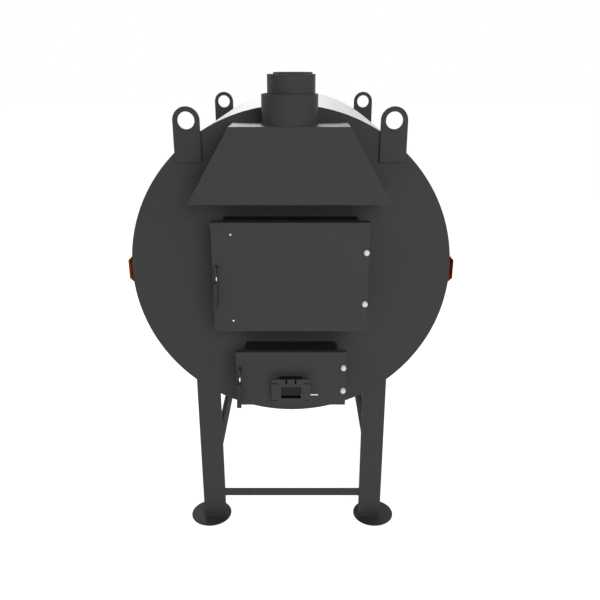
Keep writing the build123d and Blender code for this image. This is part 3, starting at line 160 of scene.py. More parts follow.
shaded = tree.nodes.new("ShaderNodeBsdfDiffuse")
shaded.inputs["Color"].default_value = FLOOR_SEEN
glow = tree.nodes.new("ShaderNodeEmission")
glow.inputs["Strength"].default_value = FLOOR_GLOW
both = tree.nodes.new("ShaderNodeAddShader")
choice = tree.nodes.new("ShaderNodeMixShader")
surface = tree.nodes.new("ShaderNodeOutputMaterial")
tree.links.new(shaded.outputs[0], both.inputs[0])
tree.links.new(glow.outputs[0], both.inputs[1])
tree.links.new(seen_directly(tree), choice.inputs["Fac"])
tree.links.new(matt.outputs[0], choice.inputs[1])
tree.links.new(both.outputs[0], choice.inputs[2])
tree.links.new(choice.outputs[0], surface.inputs["Surface"])
floor.data.materials.append(floor_sheet)


# End plates: 4 mm steel discs that close the drum in front and behind.
# They are sprayed with a satin charcoal heat-proof paint, as is most of the steelwork.
def noise(tree, place, scale, detail=3.0):
    """Noise of a scale in features per metre."""
    texture = tree.nodes.new("ShaderNodeTexNoise")
    texture.inputs["Scale"].default_value = scale
    texture.inputs["Detail"].default_value = detail
    tree.links.new(place, texture.inputs["Vector"])
    return texture.outputs["Fac"]


def spread(tree, value, low, high, start=0.3, end=0.7):
    """The part of value between start and end, spread from low to high."""
    node = tree.nodes.new("ShaderNodeMapRange")
    node.inputs["From Min"].default_value = start
    node.inputs["From Max"].default_value = end
    node.inputs["To Min"].default_value = low
    node.inputs["To Max"].default_value = high
    tree.links.new(value, node.inputs["Value"])
    return node.outputs["Result"]


def blend_colours(tree, mask, first, second):
    """Colour that goes from first to second with the mask. Either may be a colour or a socket."""
    node = tree.nodes.new("ShaderNodeMixRGB")
    tree.links.new(mask, node.inputs["Fac"])
    for socket, colour in ((node.inputs["Color1"], first), (node.inputs["Color2"], second)):
        if isinstance(colour, tuple):
            socket.default_value = (*colour, 1.0)
        else:
            tree.links.new(colour, socket)
    return node.outputs["Color"]


def mottle(tree, place, scale, first, second, detail=3.0):
    """Colour that wanders between first and second, scale being in patches per metre."""
    return blend_colours(tree, spread(tree, noise(tree, place, scale, detail), 0.0, 1.0), first, second)


def object_place(tree):
    """Object coordinates, in metres."""
    return tree.nodes.new("ShaderNodeTexCoord").outputs["Object"]


def new_group(name, given, made):
    """Node group with named sockets, its input node and its output node."""
    group = bpy.data.node_groups.new(name, "ShaderNodeTree")
    for label, value in given:
        kind = "NodeSocketColor" if isinstance(value, tuple) else "NodeSocketFloat"
        socket = group.interface.new_socket(label, in_out="INPUT", socket_type=kind)
        socket.default_value = value
    for label, kind in made:
        group.interface.new_socket(label, in_out="OUTPUT", socket_type=kind)
    return group, group.nodes.new("NodeGroupInput"), group.nodes.new("NodeGroupOutput")


def sprayed_film():
    """Sprayed paint: soft patches in tone, fine specks in gloss, and a pebbled skin."""
    group, given, made = new_group(
        "sprayed film",
        (("Colour", (0.1, 0.1, 0.1, 1.0)), ("Tone", 0.06), ("Gloss", 0.5), ("Grain", 420.0)),
        (("Colour", "NodeSocketColor"), ("Roughness", "NodeSocketFloat"),
         ("Height", "NodeSocketFloat")))
    place = object_place(group)
    patches = spread(group, noise(group, place, 3.2, 4.0), -1.0, 1.0)
    specks = spread(group, noise(group, place, 160.0, 2.0), -0.04, 0.04)
    pebbles = group.nodes.new("ShaderNodeTexNoise")
    group.links.new(place, pebbles.inputs["Vector"])
    group.links.new(given.outputs["Grain"], pebbles.inputs["Scale"])
    tone = group.nodes.new("ShaderNodeMath")
    tone.operation = "MULTIPLY_ADD"
    group.links.new(patches, tone.inputs[0])
    group.links.new(given.outputs["Tone"], tone.inputs[1])
    tone.inputs[2].default_value = 1.0
    shade = group.nodes.new("ShaderNodeVectorMath")
    shade.operation = "SCALE"
    group.links.new(given.outputs["Colour"], shade.inputs[0])
    group.links.new(tone.outputs[0], shade.inputs["Scale"])
    gloss = group.nodes.new("ShaderNodeMath")
    gloss.operation = "ADD"
    group.links.new(specks, gloss.inputs[0])
    group.links.new(given.outputs["Gloss"], gloss.inputs[1])
    group.links.new(shade.outputs[0], made.inputs["Colour"])
    group.links.new(gloss.outputs[0], made.inputs["Roughness"])
    group.links.new(pebbles.outputs["Fac"], made.inputs["Height"])
    return group


FILM = sprayed_film()


def new_material(name):
    """Material, its node tree and its Principled shader."""
    material = bpy.data.materials.new(name)
    material.use_nodes = True
    return material, material.node_tree, material.node_tree.nodes["Principled BSDF"]


def raise_surface(tree, shader, height, strength, distance):
    """Bump from a height, strength from 0 to 1 and distance in metres."""
    node = tree.nodes.new("ShaderNodeBump")
    node.inputs["Strength"].default_value = strength
    node.inputs["Distance"].default_value = distance
    tree.links.new(height, node.inputs["Height"])
    tree.links.new(node.outputs["Normal"], shader.inputs["Normal"])


def sprayed(name, colour, roughness, tone, sheen, pebble, grain=420.0):
    """Sprayed paint: tone is the depth of its patches, sheen its mirror level, pebble its relief."""
    material, tree, shader = new_material(name)
    film = tree.nodes.new("ShaderNodeGroup")
    film.node_tree = FILM
    film.inputs["Colour"].default_value = (*colour, 1.0)
    film.inputs["Tone"].default_value = tone
    film.inputs["Gloss"].default_value = roughness
    film.inputs["Grain"].default_value = grain
    tree.links.new(film.outputs["Colour"], shader.inputs["Base Color"])
    tree.links.new(film.outputs["Roughness"], shader.inputs["Roughness"])
    shader.inputs["Specular IOR Level"].default_value = sheen
    raise_surface(tree, shader, film.outputs["Height"], strength=pebble, distance=0.0003)
    return material


CORNER_ANGLE = 38.0
SQUARE_ANGLE = 60.0
SOFT_CORNER = 80.0


def sharp_edges(bm, angle, pick=None):
    """Outward edges that turn by more than angle degrees, of those that pick accepts."""
    found = [edge for edge in bm.edges
             if len(edge.link_faces) == 2 and edge.is_convex
             and edge.calc_face_angle() > radians(angle)]
    return [edge for edge in found if pick is None or pick(edge)]


def round_over(bm, edges, width, segments):
    """Rounds edges to a radius of width."""
    bmesh.ops.bevel(bm, geom=edges, offset=width, segments=segments, profile=0.5, affect="EDGES",
                    clamp_overlap=True, material=-1)


def node_copy(node):
    """Copy of a CAD node's mesh with its loose triangles joined into flat faces."""
    bm = bmesh.new()
    bm.from_mesh(frame["nodes"][node].data)
    bmesh.ops.remove_doubles(bm, verts=bm.verts, dist=0.00002)
    bmesh.ops.dissolve_limit(bm, angle_limit=radians(0.4), verts=bm.verts, edges=bm.edges)
    return bm


def make_piece(bm, name, body, material, stands_for=(), corner=CORNER_ANGLE):
    """Piece of the heater from a bmesh: smooth but for its corners, on a body, in its finish."""
    for face in bm.faces:
        face.smooth = True
        face.material_index = 0
    for edge in bm.edges:
        edge.smooth = len(edge.link_faces) == 2 and edge.calc_face_angle(pi) < radians(corner)
    mesh = bpy.data.meshes.new(name)
    bm.to_mesh(mesh)
    bm.free()
    mesh.materials.clear()
    mesh.materials.append(material)
    piece = bpy.data.objects.new(name, mesh)
    scene.collection.objects.link(piece)
    even = piece.modifiers.new("even normals", "WEIGHTED_NORMAL")
    even.keep_sharp = True
    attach(piece, body)
    if stands_for:
        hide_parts(*stands_for)
    return piece


def rounded(node, suffix, material, width, segments=2, folds=None, fold_width=0.0, reshape=None):
    """Stands for a CAD node: its edges are rounded by width, and its folds by fold_width."""
    bm = node_copy(node)
    if reshape:
        reshape(bm)
    if folds:
        round_over(bm, sharp_edges(bm, SQUARE_ANGLE, folds), fold_width, 4)
    round_over(bm, sharp_edges(bm, CORNER_ANGLE), width, segments)
    body = frame["nodes"][node]["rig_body"]
    return make_piece(bm, f"{node}_{suffix}", body, material, (node,))


CHARCOAL = sprayed("charcoal paint", (0.0305, 0.0305, 0.0310), roughness=0.50, tone=0.045, sheen=0.24,
                   pebble=0.04)
for node in ("front_plate", "rear_plate"):
    rounded(node, "cut", CHARCOAL, width=0.0008)
plate_low, plate_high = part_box("front_plate")
DRUM_AXIS_Z = (plate_low.z + plate_high.z) / 2
DRUM_R = plate_high.x
FRONT_Y = plate_low.y
REAR_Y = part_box("rear_plate")[1].y


# Casing: an upper and a lower half shell of 3 mm sheet, rolled round the drum.
# They are sprayed near-white, and their seams are bolted together under the side strips.
PLUG_DEPTH = 0.046
CAP_T = 0.002
NEAR = 0.0003
NEARLY_ALONG = 0.9


def shorten_seams(bm):
    """Ends the seam flanges behind the plugs of the side strips."""
    flange_end_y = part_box("side_strips")[1].y - CAP_T
    for vertex in bm.verts:
        if abs(vertex.co.x) > DRUM_R - NEAR and abs(abs(vertex.co.y) - flange_end_y) < NEAR:
            vertex.co.y *= 1.0 - PLUG_DEPTH / flange_end_y


CASING_PAINT = sprayed("casing paint", (0.80, 0.80, 0.795), roughness=0.48, tone=0.012, sheen=0.15,
                       pebble=0.04)
for node in ("casing_upper", "casing_lower"):
    rounded(node, "rolled", CASING_PAINT, width=0.0004, reshape=shorten_seams)


# Casing bolts: small zinc hexagon bolts through the seam flanges, under the side strips.
# Bright zinc plate varies a little in gloss and has a faint cloudy tint.
def zinc_plate():
    """Bright zinc plate on steel."""
    material, tree, shader = new_material("zinc plate")
    place = object_place(tree)
    cloudy = mottle(tree, place, 60.0, (0.80, 0.81, 0.82), (0.90, 0.90, 0.88))
    tree.links.new(cloudy, shader.inputs["Base Color"])
    tree.links.new(spread(tree, noise(tree, place, 220.0), 0.20, 0.36), shader.inputs["Roughness"])
    shader.inputs["Metallic"].default_value = 1.0
    raise_surface(tree, shader, noise(tree, place, 900.0, 2.0), strength=0.05, distance=0.0002)
    return material


ZINC = zinc_plate()
rounded("casing_bolts", "headed", ZINC, width=0.0004, segments=1)

# Side strips: hat profiles folded from 2 mm sheet in burnt orange. They cover the casing's seams.
# A plug welded some way inside each end closes them, so that their mouths look dark.
STRIP_PAINT = sprayed("strip paint", (0.42, 0.076, 0.007), roughness=0.46, tone=0.05, sheen=0.12,
                      pebble=0.05)
STRIP_RIM = 0.0042


def recess_ends(bm):
    """Sets the closed ends back between the strip's walls."""
    end_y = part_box("side_strips")[1].y
    ends = [face for face in bm.faces
            if abs(abs(face.calc_center_median().y) - end_y) < NEAR and abs(face.normal.y) > NEARLY_ALONG]
    moved = {vertex for vertex in bm.verts if abs(abs(vertex.co.y) - (end_y - CAP_T)) < NEAR}
    bmesh.ops.inset_region(bm, faces=ends, thickness=STRIP_RIM, use_even_offset=True)
    moved.update(vertex for face in ends for vertex in face.verts)
    for vertex in moved:
        vertex.co.y *= 1.0 - PLUG_DEPTH / abs(vertex.co.y)


rounded("side_strips", "folded", STRIP_PAINT, width=0.0006, reshape=recess_ends)

# Lifting lugs: 10 mm plates with a round hole, in front of each end plate near its top.
# Their cut edges are ground round, and a weld runs up both sides to the plate's rim.
WELD_STEP = 0.0045
WELD_RIPPLE = 0.10
WELD_STOP = 0.002


def walk(corners, step, closed):
    """Points every step metres along straight runs between corners."""
    corners = [Vector(corner) for corner in corners]
    ends = corners[1:] + corners[:1] if closed else corners[1:]
    points = []
    for start, end in zip(corners, ends):
        parts = max(1, round((end - start).length / step))
        points += [start.lerp(end, i / parts) for i in range(parts)]
    return points if closed else points + [corners[-1]]


def circle_points(centre, radius, count, axis="Z"):
    """Points round a circle about an axis through centre."""
    points = []
    for i in range(count):
        across, along = radius * cos(2 * pi * i / count), radius * sin(2 * pi * i / count)
        offset = (across, along, 0.0) if axis == "Z" else (across, 0.0, along)
        points.append(Vector(centre) + Vector(offset))
    return points


def swept(paths, radius, closed, ripple=0.0, sides=2):
    """Bmesh of round rods along lists of points. A ripple makes them swell like a weld's beads."""
    line = bpy.data.curves.new("sweep", "CURVE")
    line.dimensions = "3D"
    line.bevel_depth = radius
    line.bevel_resolution = sides
    line.use_fill_caps = True
    for points in paths:
        spline = line.splines.new("POLY")
        spline.points.add(len(points) - 1)
        spline.use_cyclic_u = closed
        for i, (point, target) in enumerate(zip(points, spline.points)):
            target.co = (*point, 1.0)
            target.radius = 1.0 + ripple * (1 if i % 2 else -1)
    holder = bpy.data.objects.new("sweep", line)
    mesh = bpy.data.meshes.new_from_object(holder)
    bm = bmesh.new()
    bm.from_mesh(mesh)
    bmesh.ops.remove_doubles(bm, verts=bm.verts, dist=0.00001)
    bmesh.ops.recalc_face_normals(bm, faces=bm.faces)
    bpy.data.objects.remove(holder)
    bpy.data.curves.remove(line)
    bpy.data.meshes.remove(mesh)
    return bm


def weld(name, paths, radius, closed=False, material=CHARCOAL):
    """Painted weld bead along lists of corners."""
    runs = [walk(corners, WELD_STEP, closed) for corners in paths]
    bm = swept(runs, radius, closed, ripple=WELD_RIPPLE, sides=1)
    return make_piece(bm, name, "heater", material, corner=SOFT_CORNER)


rounded("lifting_lugs", "ground", CHARCOAL, width=0.0014, segments=3)
LUG_HALF_W = 0.0475
LUG_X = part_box("lifting_lugs")[1].x - LUG_HALF_W
LUG_FOOT_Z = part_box("lifting_lugs")[0].z
lug_welds = []
for y in (FRONT_Y, REAR_Y):
    for side in (-1, 1):
        edges = [side * LUG_X + edge * LUG_HALF_W for edge in (-1, 1)]
        lug_welds.append([(edges[0], y, LUG_FOOT_Z), (edges[1], y, LUG_FOOT_Z)])
        for x in edges:
            rim_z = DRUM_AXIS_Z + (DRUM_R ** 2 - x ** 2) ** 0.5
            lug_welds.append([(x, y, LUG_FOOT_Z), (x, y, rim_z - WELD_STOP)])
weld("lug_welds", lug_welds, radius=0.0030)

# Stand: four legs bent from 4 mm sheet to an angle, tied by angle bars across and lengthwise.
# Each leg stands on a round foot plate, and a weld runs round its foot.
LEG_CORNER_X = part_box("leg_front_right")[1].x
LEG_W = LEG_CORNER_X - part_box("leg_front_right")[0].x
LEG_T = 0.004
LEG_BEND_R = 0.004
LONG_EDGE = 0.1


def leg_corner(edge):
    """The upright outer corner of a leg, where the sheet is bent."""
    low, high = (vertex.co for vertex in edge.verts)
    length = edge.calc_length()
    upright = length > LONG_EDGE and abs(high.z - low.z) > NEARLY_ALONG * length
    at_side = abs(abs(low.x) - LEG_CORNER_X) < NEAR
    return upright and at_side and abs(abs(low.y) - REAR_Y) < NEAR


for end in ("front", "rear"):
    for side in ("left", "right"):
        rounded(f"leg_{end}_{side}", "bent", CHARCOAL, width=0.0007, folds=leg_corner,
                fold_width=LEG_BEND_R)
for node in ("cross_bars", "side_rails"):
    rounded(node, "angle", CHARCOAL, width=0.0006)
rounded("foot_plates", "cut", CHARCOAL, width=0.0007)
foot_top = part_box("foot_plates")[1].z
bar_foot, bar_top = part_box("cross_bars")[0].z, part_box("cross_bars")[1].z
foot_welds = []
bar_welds = []
for side in (-1, 1):
    for end in (-1, 1):
        x, y = side * LEG_CORNER_X, end * REAR_Y
        inner_x, inner_y = x - side * LEG_W, y - end * LEG_W
        foot_welds.append([(inner_x, y, foot_top), (x, y, foot_top), (x, inner_y, foot_top)])
        bar_face = y - end * LEG_T
        bar_welds.append([(inner_x, bar_face, bar_foot), (inner_x, bar_face, bar_top)])
weld("foot_welds", foot_welds, radius=0.0028)
weld("bar_welds", bar_welds, radius=0.0022)

# Smoke box: a hood of 4 mm sheet with slanted sides and rounded folds.
# A weld joins it to the front plate all the way round.
SMOKE_BOX_TOP_HALF = 0.1985
rounded("smoke_box", "folded", CHARCOAL, width=0.0018, segments=4)
low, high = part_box("smoke_box")
weld("smoke_box_weld", [[(low.x, FRONT_Y, low.z), (high.x, FRONT_Y, low.z),
                         (SMOKE_BOX_TOP_HALF, FRONT_Y, high.z),
                         (-SMOKE_BOX_TOP_HALF, FRONT_Y, high.z)]], radius=0.0016, closed=True)

# Flue: a collar and two smaller sleeves, rolled from 5 mm sheet, each on a flat closing ring.
# The collar is welded to the smoke box's top. The paint on them is thinner and has little gloss.
FLUE_PAINT = sprayed("flue paint", (0.0405, 0.0405, 0.041), roughness=0.36, tone=0.045, sheen=0.035,
                     pebble=0.04)
for node in ("flue_collar", "flue_reducer", "flue_inner_ring"):
    rounded(node, "rolled", FLUE_PAINT, width=0.0012, segments=3)
low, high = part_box("flue_collar")
collar_centre = ((low.x + high.x) / 2, (low.y + high.y) / 2, low.z)
collar_foot = circle_points(collar_centre, (high.x - low.x) / 2, count=130)
weld("collar_weld", [collar_foot], radius=0.0022, closed=True, material=FLUE_PAINT)


# Tunnels: short square tubes with rounded corners that carry the doors' frames and the keepers.
# They are painted with a matt black stove paint and are brown-black with soot towards the fire.
SOOT_START_Y = FRONT_Y - 0.08
SOOT_FULL_Y = FRONT_Y + 0.02


def stove_black():
    """Matt stove paint, sooty behind the front plate."""
    material, tree, shader = new_material("stove black")
    place = object_place(tree)
    split = tree.nodes.new("ShaderNodeSeparateXYZ")
    tree.links.new(place, split.inputs["Vector"])
    soot = spread(tree, split.outputs["Y"], 0.0, 1.0, SOOT_START_Y, SOOT_FULL_Y)
    sooty = mottle(tree, place, 28.0, (0.006, 0.005, 0.004), (0.022, 0.016, 0.011), 5.0)
    clean = mottle(tree, place, 5.0, (0.016, 0.016, 0.0165), (0.019, 0.019, 0.019))
    tree.links.new(blend_colours(tree, soot, clean, sooty), shader.inputs["Base Color"])
    tree.links.new(spread(tree, noise(tree, place, 150.0), 0.62, 0.78), shader.inputs["Roughness"])
    shader.inputs["Specular IOR Level"].default_value = 0.12
    raise_surface(tree, shader, noise(tree, place, 380.0), strength=0.18, distance=0.0005)
    return material


def rounded_frame(low, high, y, corner, step):
    """Points every step metres round an upright rectangle with round corners, at depth y."""
    middles = ((high.x - corner, high.z - corner), (low.x + corner, high.z - corner),
               (low.x + corner, low.z + corner), (high.x - corner, low.z + corner))
    parts = max(3, round(corner * pi / 2 / step))
    corners = []
    for quarter, (x, z) in enumerate(middles):
        for i in range(parts + 1):
            angle = pi / 2 * (quarter + i / parts)
            corners.append((x + corner * cos(angle), y, z + corner * sin(angle)))
    return walk(corners, step, closed=True)


STOVE_BLACK = stove_black()
TUNNEL_CORNER_R = 0.010
for node in ("loading_tunnel", "ash_tunnel"):
    rounded(node, "bent", STOVE_BLACK, width=0.0010)
    low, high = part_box(node)
    foot = rounded_frame(low, high, FRONT_Y, TUNNEL_CORNER_R, WELD_STEP)
    weld(f"{node}_weld", [foot], radius=0.0028, closed=True, material=STOVE_BLACK)


# Firebox, rear smoke chamber and flue tubes: bare rolled steel that the fire has scaled.
# The scale is blue-grey with brown rust patches, and soot lies on it.
def scaled_steel():
    """Hot-rolled steel with mill scale, heat tint and soot."""
    material, tree, shader = new_material("scaled steel")
    place = object_place(tree)
    tint = mottle(tree, place, 2.5, (0.055, 0.055, 0.060), (0.110, 0.085, 0.062), 5.0)
    rust = spread(tree, noise(tree, place, 17.0, 6.0), 0.0, 0.8, 0.52, 0.72)
    tinted = blend_colours(tree, rust, tint, (0.085, 0.036, 0.018))
    soot = spread(tree, noise(tree, place, 6.0, 5.0), 0.0, 0.85, 0.40, 0.65)
    tree.links.new(blend_colours(tree, soot, tinted, (0.012, 0.011, 0.010)),
                   shader.inputs["Base Color"])
    tree.links.new(spread(tree, noise(tree, place, 40.0), 0.55, 0.85), shader.inputs["Roughness"])
    shader.inputs["Specular IOR Level"].default_value = 0.3
    raise_surface(tree, shader, noise(tree, place, 260.0, 5.0), strength=0.35, distance=0.0008)
    return material


SCALED_STEEL = scaled_steel()
for node in ("firebox_shell", "firebox_rear_wall", "smoke_chamber", "flue_tubes",
             "grate_supports", "ash_pan_rails"):
    rounded(node, "rolled", SCALED_STEEL, width=0.0006)


# Grate bars: cast iron bars with round edges that lie on the supports.
# The skin is rough from the sand mould and grey with ash on top.
def cast_iron():
    """Sand-cast iron with ash on its upper faces."""
    material, tree, shader = new_material("cast iron")
    place = object_place(tree)
    split = tree.nodes.new("ShaderNodeSeparateXYZ")
    tree.links.new(tree.nodes.new("ShaderNodeNewGeometry").outputs["Normal"], split.inputs["Vector"])
    upward = spread(tree, split.outputs["Z"], 0.0, 1.0, 0.3, 0.9)
    ash = tree.nodes.new("ShaderNodeMath")
    ash.operation = "MULTIPLY"
    tree.links.new(upward, ash.inputs[0])
    tree.links.new(spread(tree, noise(tree, place, 14.0, 6.0), 0.0, 0.7), ash.inputs[1])
    iron = mottle(tree, place, 30.0, (0.035, 0.033, 0.032), (0.075, 0.062, 0.050))
    tree.links.new(blend_colours(tree, ash.outputs[0], iron, (0.30, 0.29, 0.27)),
                   shader.inputs["Base Color"])
    shader.inputs["Roughness"].default_value = 0.82
    raise_surface(tree, shader, noise(tree, place, 420.0, 4.0), strength=0.5, distance=0.0008)
    return material


rounded("grate_bars", "cast", cast_iron(), width=0.0025, segments=3)

# Ash pan: a drawer folded from thin black sheet with a round bar to pull it by.
# It slides on two rails under the grate.
rounded("ash_pan", "folded", STOVE_BLACK, width=0.0007)


# Air baffle, outlet and fan ring: galvanised sheet with its crystal pattern.
# The baffle keeps the fan's air low until it has passed forward under the firebox.
def galvanised():
    """Zinc-dipped sheet: flat crystals that differ in tone and gloss."""
    material, tree, shader = new_material("galvanised sheet")
    place = object_place(tree)
    crystals = tree.nodes.new("ShaderNodeTexVoronoi")
    crystals.inputs["Scale"].default_value = 115.0
    tree.links.new(place, crystals.inputs["Vector"])
    split = tree.nodes.new("ShaderNodeSeparateColor")
    tree.links.new(crystals.outputs["Color"], split.inputs["Color"])
    tone = split.outputs["Red"]
    tree.links.new(blend_colours(tree, tone, (0.50, 0.515, 0.53), (0.60, 0.61, 0.62)),
                   shader.inputs["Base Color"])
    tree.links.new(spread(tree, tone, 0.30, 0.48, 0.0, 1.0), shader.inputs["Roughness"])
    shader.inputs["Metallic"].default_value = 0.85
    raise_surface(tree, shader, noise(tree, place, 120.0), strength=0.06, distance=0.0004)
    return material


GALVANISED = galvanised()
rounded("air_baffle", "cut", GALVANISED, width=0.0005)


# Door panels: trays folded from sheet, with a seal channel welded on the back.
# The folds along the front have a radius of about 2 mm and catch the light.
def face_folds(low, high):
    """Picks the outer edges of a door's face, the face being at low.y."""
    def pick(edge):
        """True for an edge of the face's outline."""
        ends = [vertex.co for vertex in edge.verts]
        on_face = all(abs(end.y - low.y) < NEAR for end in ends)
        at_rim = [min(abs(end.x - low.x), abs(end.x - high.x), abs(end.z - low.z), abs(end.z - high.z))
                  for end in ends]
        return on_face and max(at_rim) < NEAR
    return pick


DOOR_FOLD_R = 0.0018
for door in ("fuel", "ash"):
    node = f"{door}_door_panel"
    rounded(node, "folded", CHARCOAL, width=0.0006, folds=face_folds(*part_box(node)),
            fold_width=DOOR_FOLD_R)


# Door liners: slabs of pressed fire brick held behind the door's sheet.
# Their edges are worn round, the face is pitted, and soot darkens it unevenly.
def fire_brick():
    """Pressed fire brick: pale buff with dark grog specks and soot."""
    material, tree, shader = new_material("fire brick")
    place = object_place(tree)
    buff = mottle(tree, place, 12.0, (0.50, 0.39, 0.26), (0.62, 0.52, 0.38), 5.0)
    specks = tree.nodes.new("ShaderNodeTexVoronoi")
    specks.inputs["Scale"].default_value = 240.0
    tree.links.new(place, specks.inputs["Vector"])
    grog = spread(tree, specks.outputs["Distance"], 1.0, 0.0, 0.10, 0.28)
    speckled = blend_colours(tree, grog, buff, (0.23, 0.16, 0.10))
    soot = spread(tree, noise(tree, place, 7.0, 6.0), 0.0, 0.75, 0.42, 0.66)
    tree.links.new(blend_colours(tree, soot, speckled, (0.05, 0.042, 0.035)),
                   shader.inputs["Base Color"])
    shader.inputs["Roughness"].default_value = 0.92
    shader.inputs["Specular IOR Level"].default_value = 0.2
    raise_surface(tree, shader, noise(tree, place, 300.0, 6.0), strength=0.6, distance=0.0012)
    return material


FIRE_BRICK = fire_brick()
for door in ("fuel", "ash"):
    rounded(f"{door}_door_liner", "pressed", FIRE_BRICK, width=0.0030, segments=3)


# Door seals: a three-strand glass fibre rope pressed into each door's channel.
# It is off-white with grey patches of soot.
def glass_rope():
    """Twisted glass fibre: fine yarn lines along each strand."""
    material, tree, shader = new_material("glass rope")
    place = object_place(tree)
    yarn = noise(tree, place, 700.0, 2.0)
    clean = blend_colours(tree, spread(tree, yarn, 0.0, 1.0), (0.50, 0.48, 0.43), (0.74, 0.72, 0.66))
    soot = spread(tree, noise(tree, place, 18.0, 5.0), 0.0, 0.6, 0.42, 0.70)
    tree.links.new(blend_colours(tree, soot, clean, (0.16, 0.15, 0.14)), shader.inputs["Base Color"])
    shader.inputs["Roughness"].default_value = 0.95
    shader.inputs["Specular IOR Level"].default_value = 0.1
    raise_surface(tree, shader, yarn, strength=0.6, distance=0.0006)
    return material


GLASS_ROPE = glass_rope()
ROPE_HALF = 0.007
ROPE_LAY = 0.032
ROPE_CORNER_R = 0.012
STRANDS = 3
STRAND_R = 0.0029
STRAND_STEP = 0.0034
STRAND_ACROSS = 0.0038
STRAND_DEEP = 0.0020
for door in ("fuel", "ash"):
    low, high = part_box(f"{door}_door_seal")
    inset = Vector((ROPE_HALF, 0.0, ROPE_HALF))
    route = rounded_frame(low + inset, high - inset, (low.y + high.y) / 2, ROPE_CORNER_R, STRAND_STEP)
    lays = round(len(route) * STRAND_STEP / ROPE_LAY)
    strands = [[] for strand in range(STRANDS)]
    for i, point in enumerate(route):
        along = (route[(i + 1) % len(route)] - route[i - 1]).normalized()
        across = along.cross(Vector((0.0, 1.0, 0.0)))
        for strand, points in enumerate(strands):
            angle = 2 * pi * (lays * i / len(route) + strand / STRANDS)
            points.append(point + across * STRAND_ACROSS * cos(angle)
                          + Vector((0.0, STRAND_DEEP * sin(angle), 0.0)))
    make_piece(swept(strands, STRAND_R, True, sides=1), f"{door}_door_rope", f"{door}_door",
               GLASS_ROPE, (f"{door}_door_seal",), corner=SOFT_CORNER)


# Hinges: eye bolts through the doors' right sides, which turn on headed pins in welded forks.
# Bolts and pins are zinc plated, and the forks are black like the tunnels.
def turned(profile, steps=40, closed=False):
    """Bmesh of a round piece about Z from points (radius, height)."""
    bm = bmesh.new()
    chain = [bm.verts.new((radius, 0.0, height)) for radius, height in profile]
    ends = chain[1:] + chain[:1] if closed else chain[1:]
    edges = [bm.edges.new(pair) for pair in zip(chain, ends)]
    bmesh.ops.spin(bm, geom=chain + edges, cent=(0.0, 0.0, 0.0), axis=(0.0, 0.0, 1.0),
                   angle=2 * pi, steps=steps, use_merge=True)
    bmesh.ops.remove_doubles(bm, verts=bm.verts, dist=0.00001)
    bmesh.ops.recalc_face_normals(bm, faces=bm.faces)
    return bm


def hexagon(flats, height, chamfer):
    """Bmesh of a hexagon nut or bolt head that stands on Z = 0, with its top edges chamfered."""
    bm = bmesh.new()
    radius = flats / 2 / cos(pi / 6)
    bmesh.ops.create_cone(bm, cap_ends=True, segments=6, radius1=radius, radius2=radius, depth=height)
    bmesh.ops.translate(bm, verts=bm.verts, vec=(0.0, 0.0, height / 2))
    top = [edge for edge in bm.edges if all(vertex.co.z > height / 2 for vertex in edge.verts)]
    round_over(bm, top, chamfer, 2)
    return bm


def join(parts):
    """One bmesh of several, each moved by its matrix."""
    whole = bmesh.new()
    for part, matrix in parts:
        bmesh.ops.transform(part, matrix=matrix, verts=part.verts)
        mesh = bpy.data.meshes.new("part")
        part.to_mesh(mesh)
        part.free()
        whole.from_mesh(mesh)
        bpy.data.meshes.remove(mesh)
    return whole


TO_FRONT = Matrix.Rotation(radians(90.0), 4, "X")
TO_REAR = Matrix.Rotation(radians(-90.0), 4, "X")
TO_RIGHT = Matrix.Rotation(radians(90.0), 4, "Y")
NUT_INSET = 0.0105
WASHER_T = 0.002
NUT_FLATS = 0.014
NUT_H = 0.006
NUT_CHAMFER = 0.0010
DOME_R = 0.0108
DOME_FOOT = 0.0050
DOME_MIDDLE = 0.0070
EDGE = 0.0004


def dull_zinc():
    """Zinc plate with a pale passivated skin that scatters most of the light."""
    material, tree, shader = new_material("dull zinc")
    place = object_place(tree)
    cloudy = mottle(tree, place, 90.0, (0.60, 0.61, 0.62), (0.66, 0.66, 0.66))
    tree.links.new(cloudy, shader.inputs["Base Color"])
    tree.links.new(spread(tree, noise(tree, place, 240.0), 0.34, 0.46), shader.inputs["Roughness"])
    shader.inputs["Specular IOR Level"].default_value = 0.2
    raise_surface(tree, shader, noise(tree, place, 900.0, 2.0), strength=0.05, distance=0.0002)
    return material


DULL_ZINC = dull_zinc()


def dome_nut():
    """Parts of a domed cap nut on its washer, standing on Z = 0. The dome hides the hexagon."""
    rim_r = DOME_R - EDGE
    washer = turned([(0.0, 0.0), (rim_r, 0.0), (rim_r, WASHER_T - EDGE), (rim_r - EDGE, WASHER_T),
                     (0.0, WASHER_T)])
    arc = [(DOME_R * cos(radians(turn)), DOME_MIDDLE + DOME_R * sin(radians(turn)))
           for turn in range(0, 91, 10)]
    dome = turned([(0.0, DOME_FOOT), (DOME_R - EDGE, DOME_FOOT), (DOME_R, DOME_FOOT + EDGE)] + arc)
    return washer, hexagon(NUT_FLATS, NUT_H, NUT_CHAMFER), dome


for door in ("fuel", "ash"):
    low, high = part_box(f"{door}_hinge_nuts")
    parts = []
    for z in (low.z + NUT_INSET, high.z - NUT_INSET):
        face = Matrix.Translation(((low.x + high.x) / 2, high.y, z)) @ TO_FRONT
        washer, nut, dome = dome_nut()
        parts += [(washer, face), (nut, face @ Matrix.Translation((0.0, 0.0, WASHER_T))), (dome, face)]
    make_piece(join(parts), f"{door}_dome_nuts", f"{door}_door", DULL_ZINC,
               (f"{door}_hinge_nuts",))
    rounded(f"{door}_hinge_eyebolts", "forged", ZINC, width=0.0010, segments=3)
rounded("hinge_pins", "headed", ZINC, width=0.0008, segments=3)
rounded("hinge_brackets", "welded", STOVE_BLACK, width=0.0008)

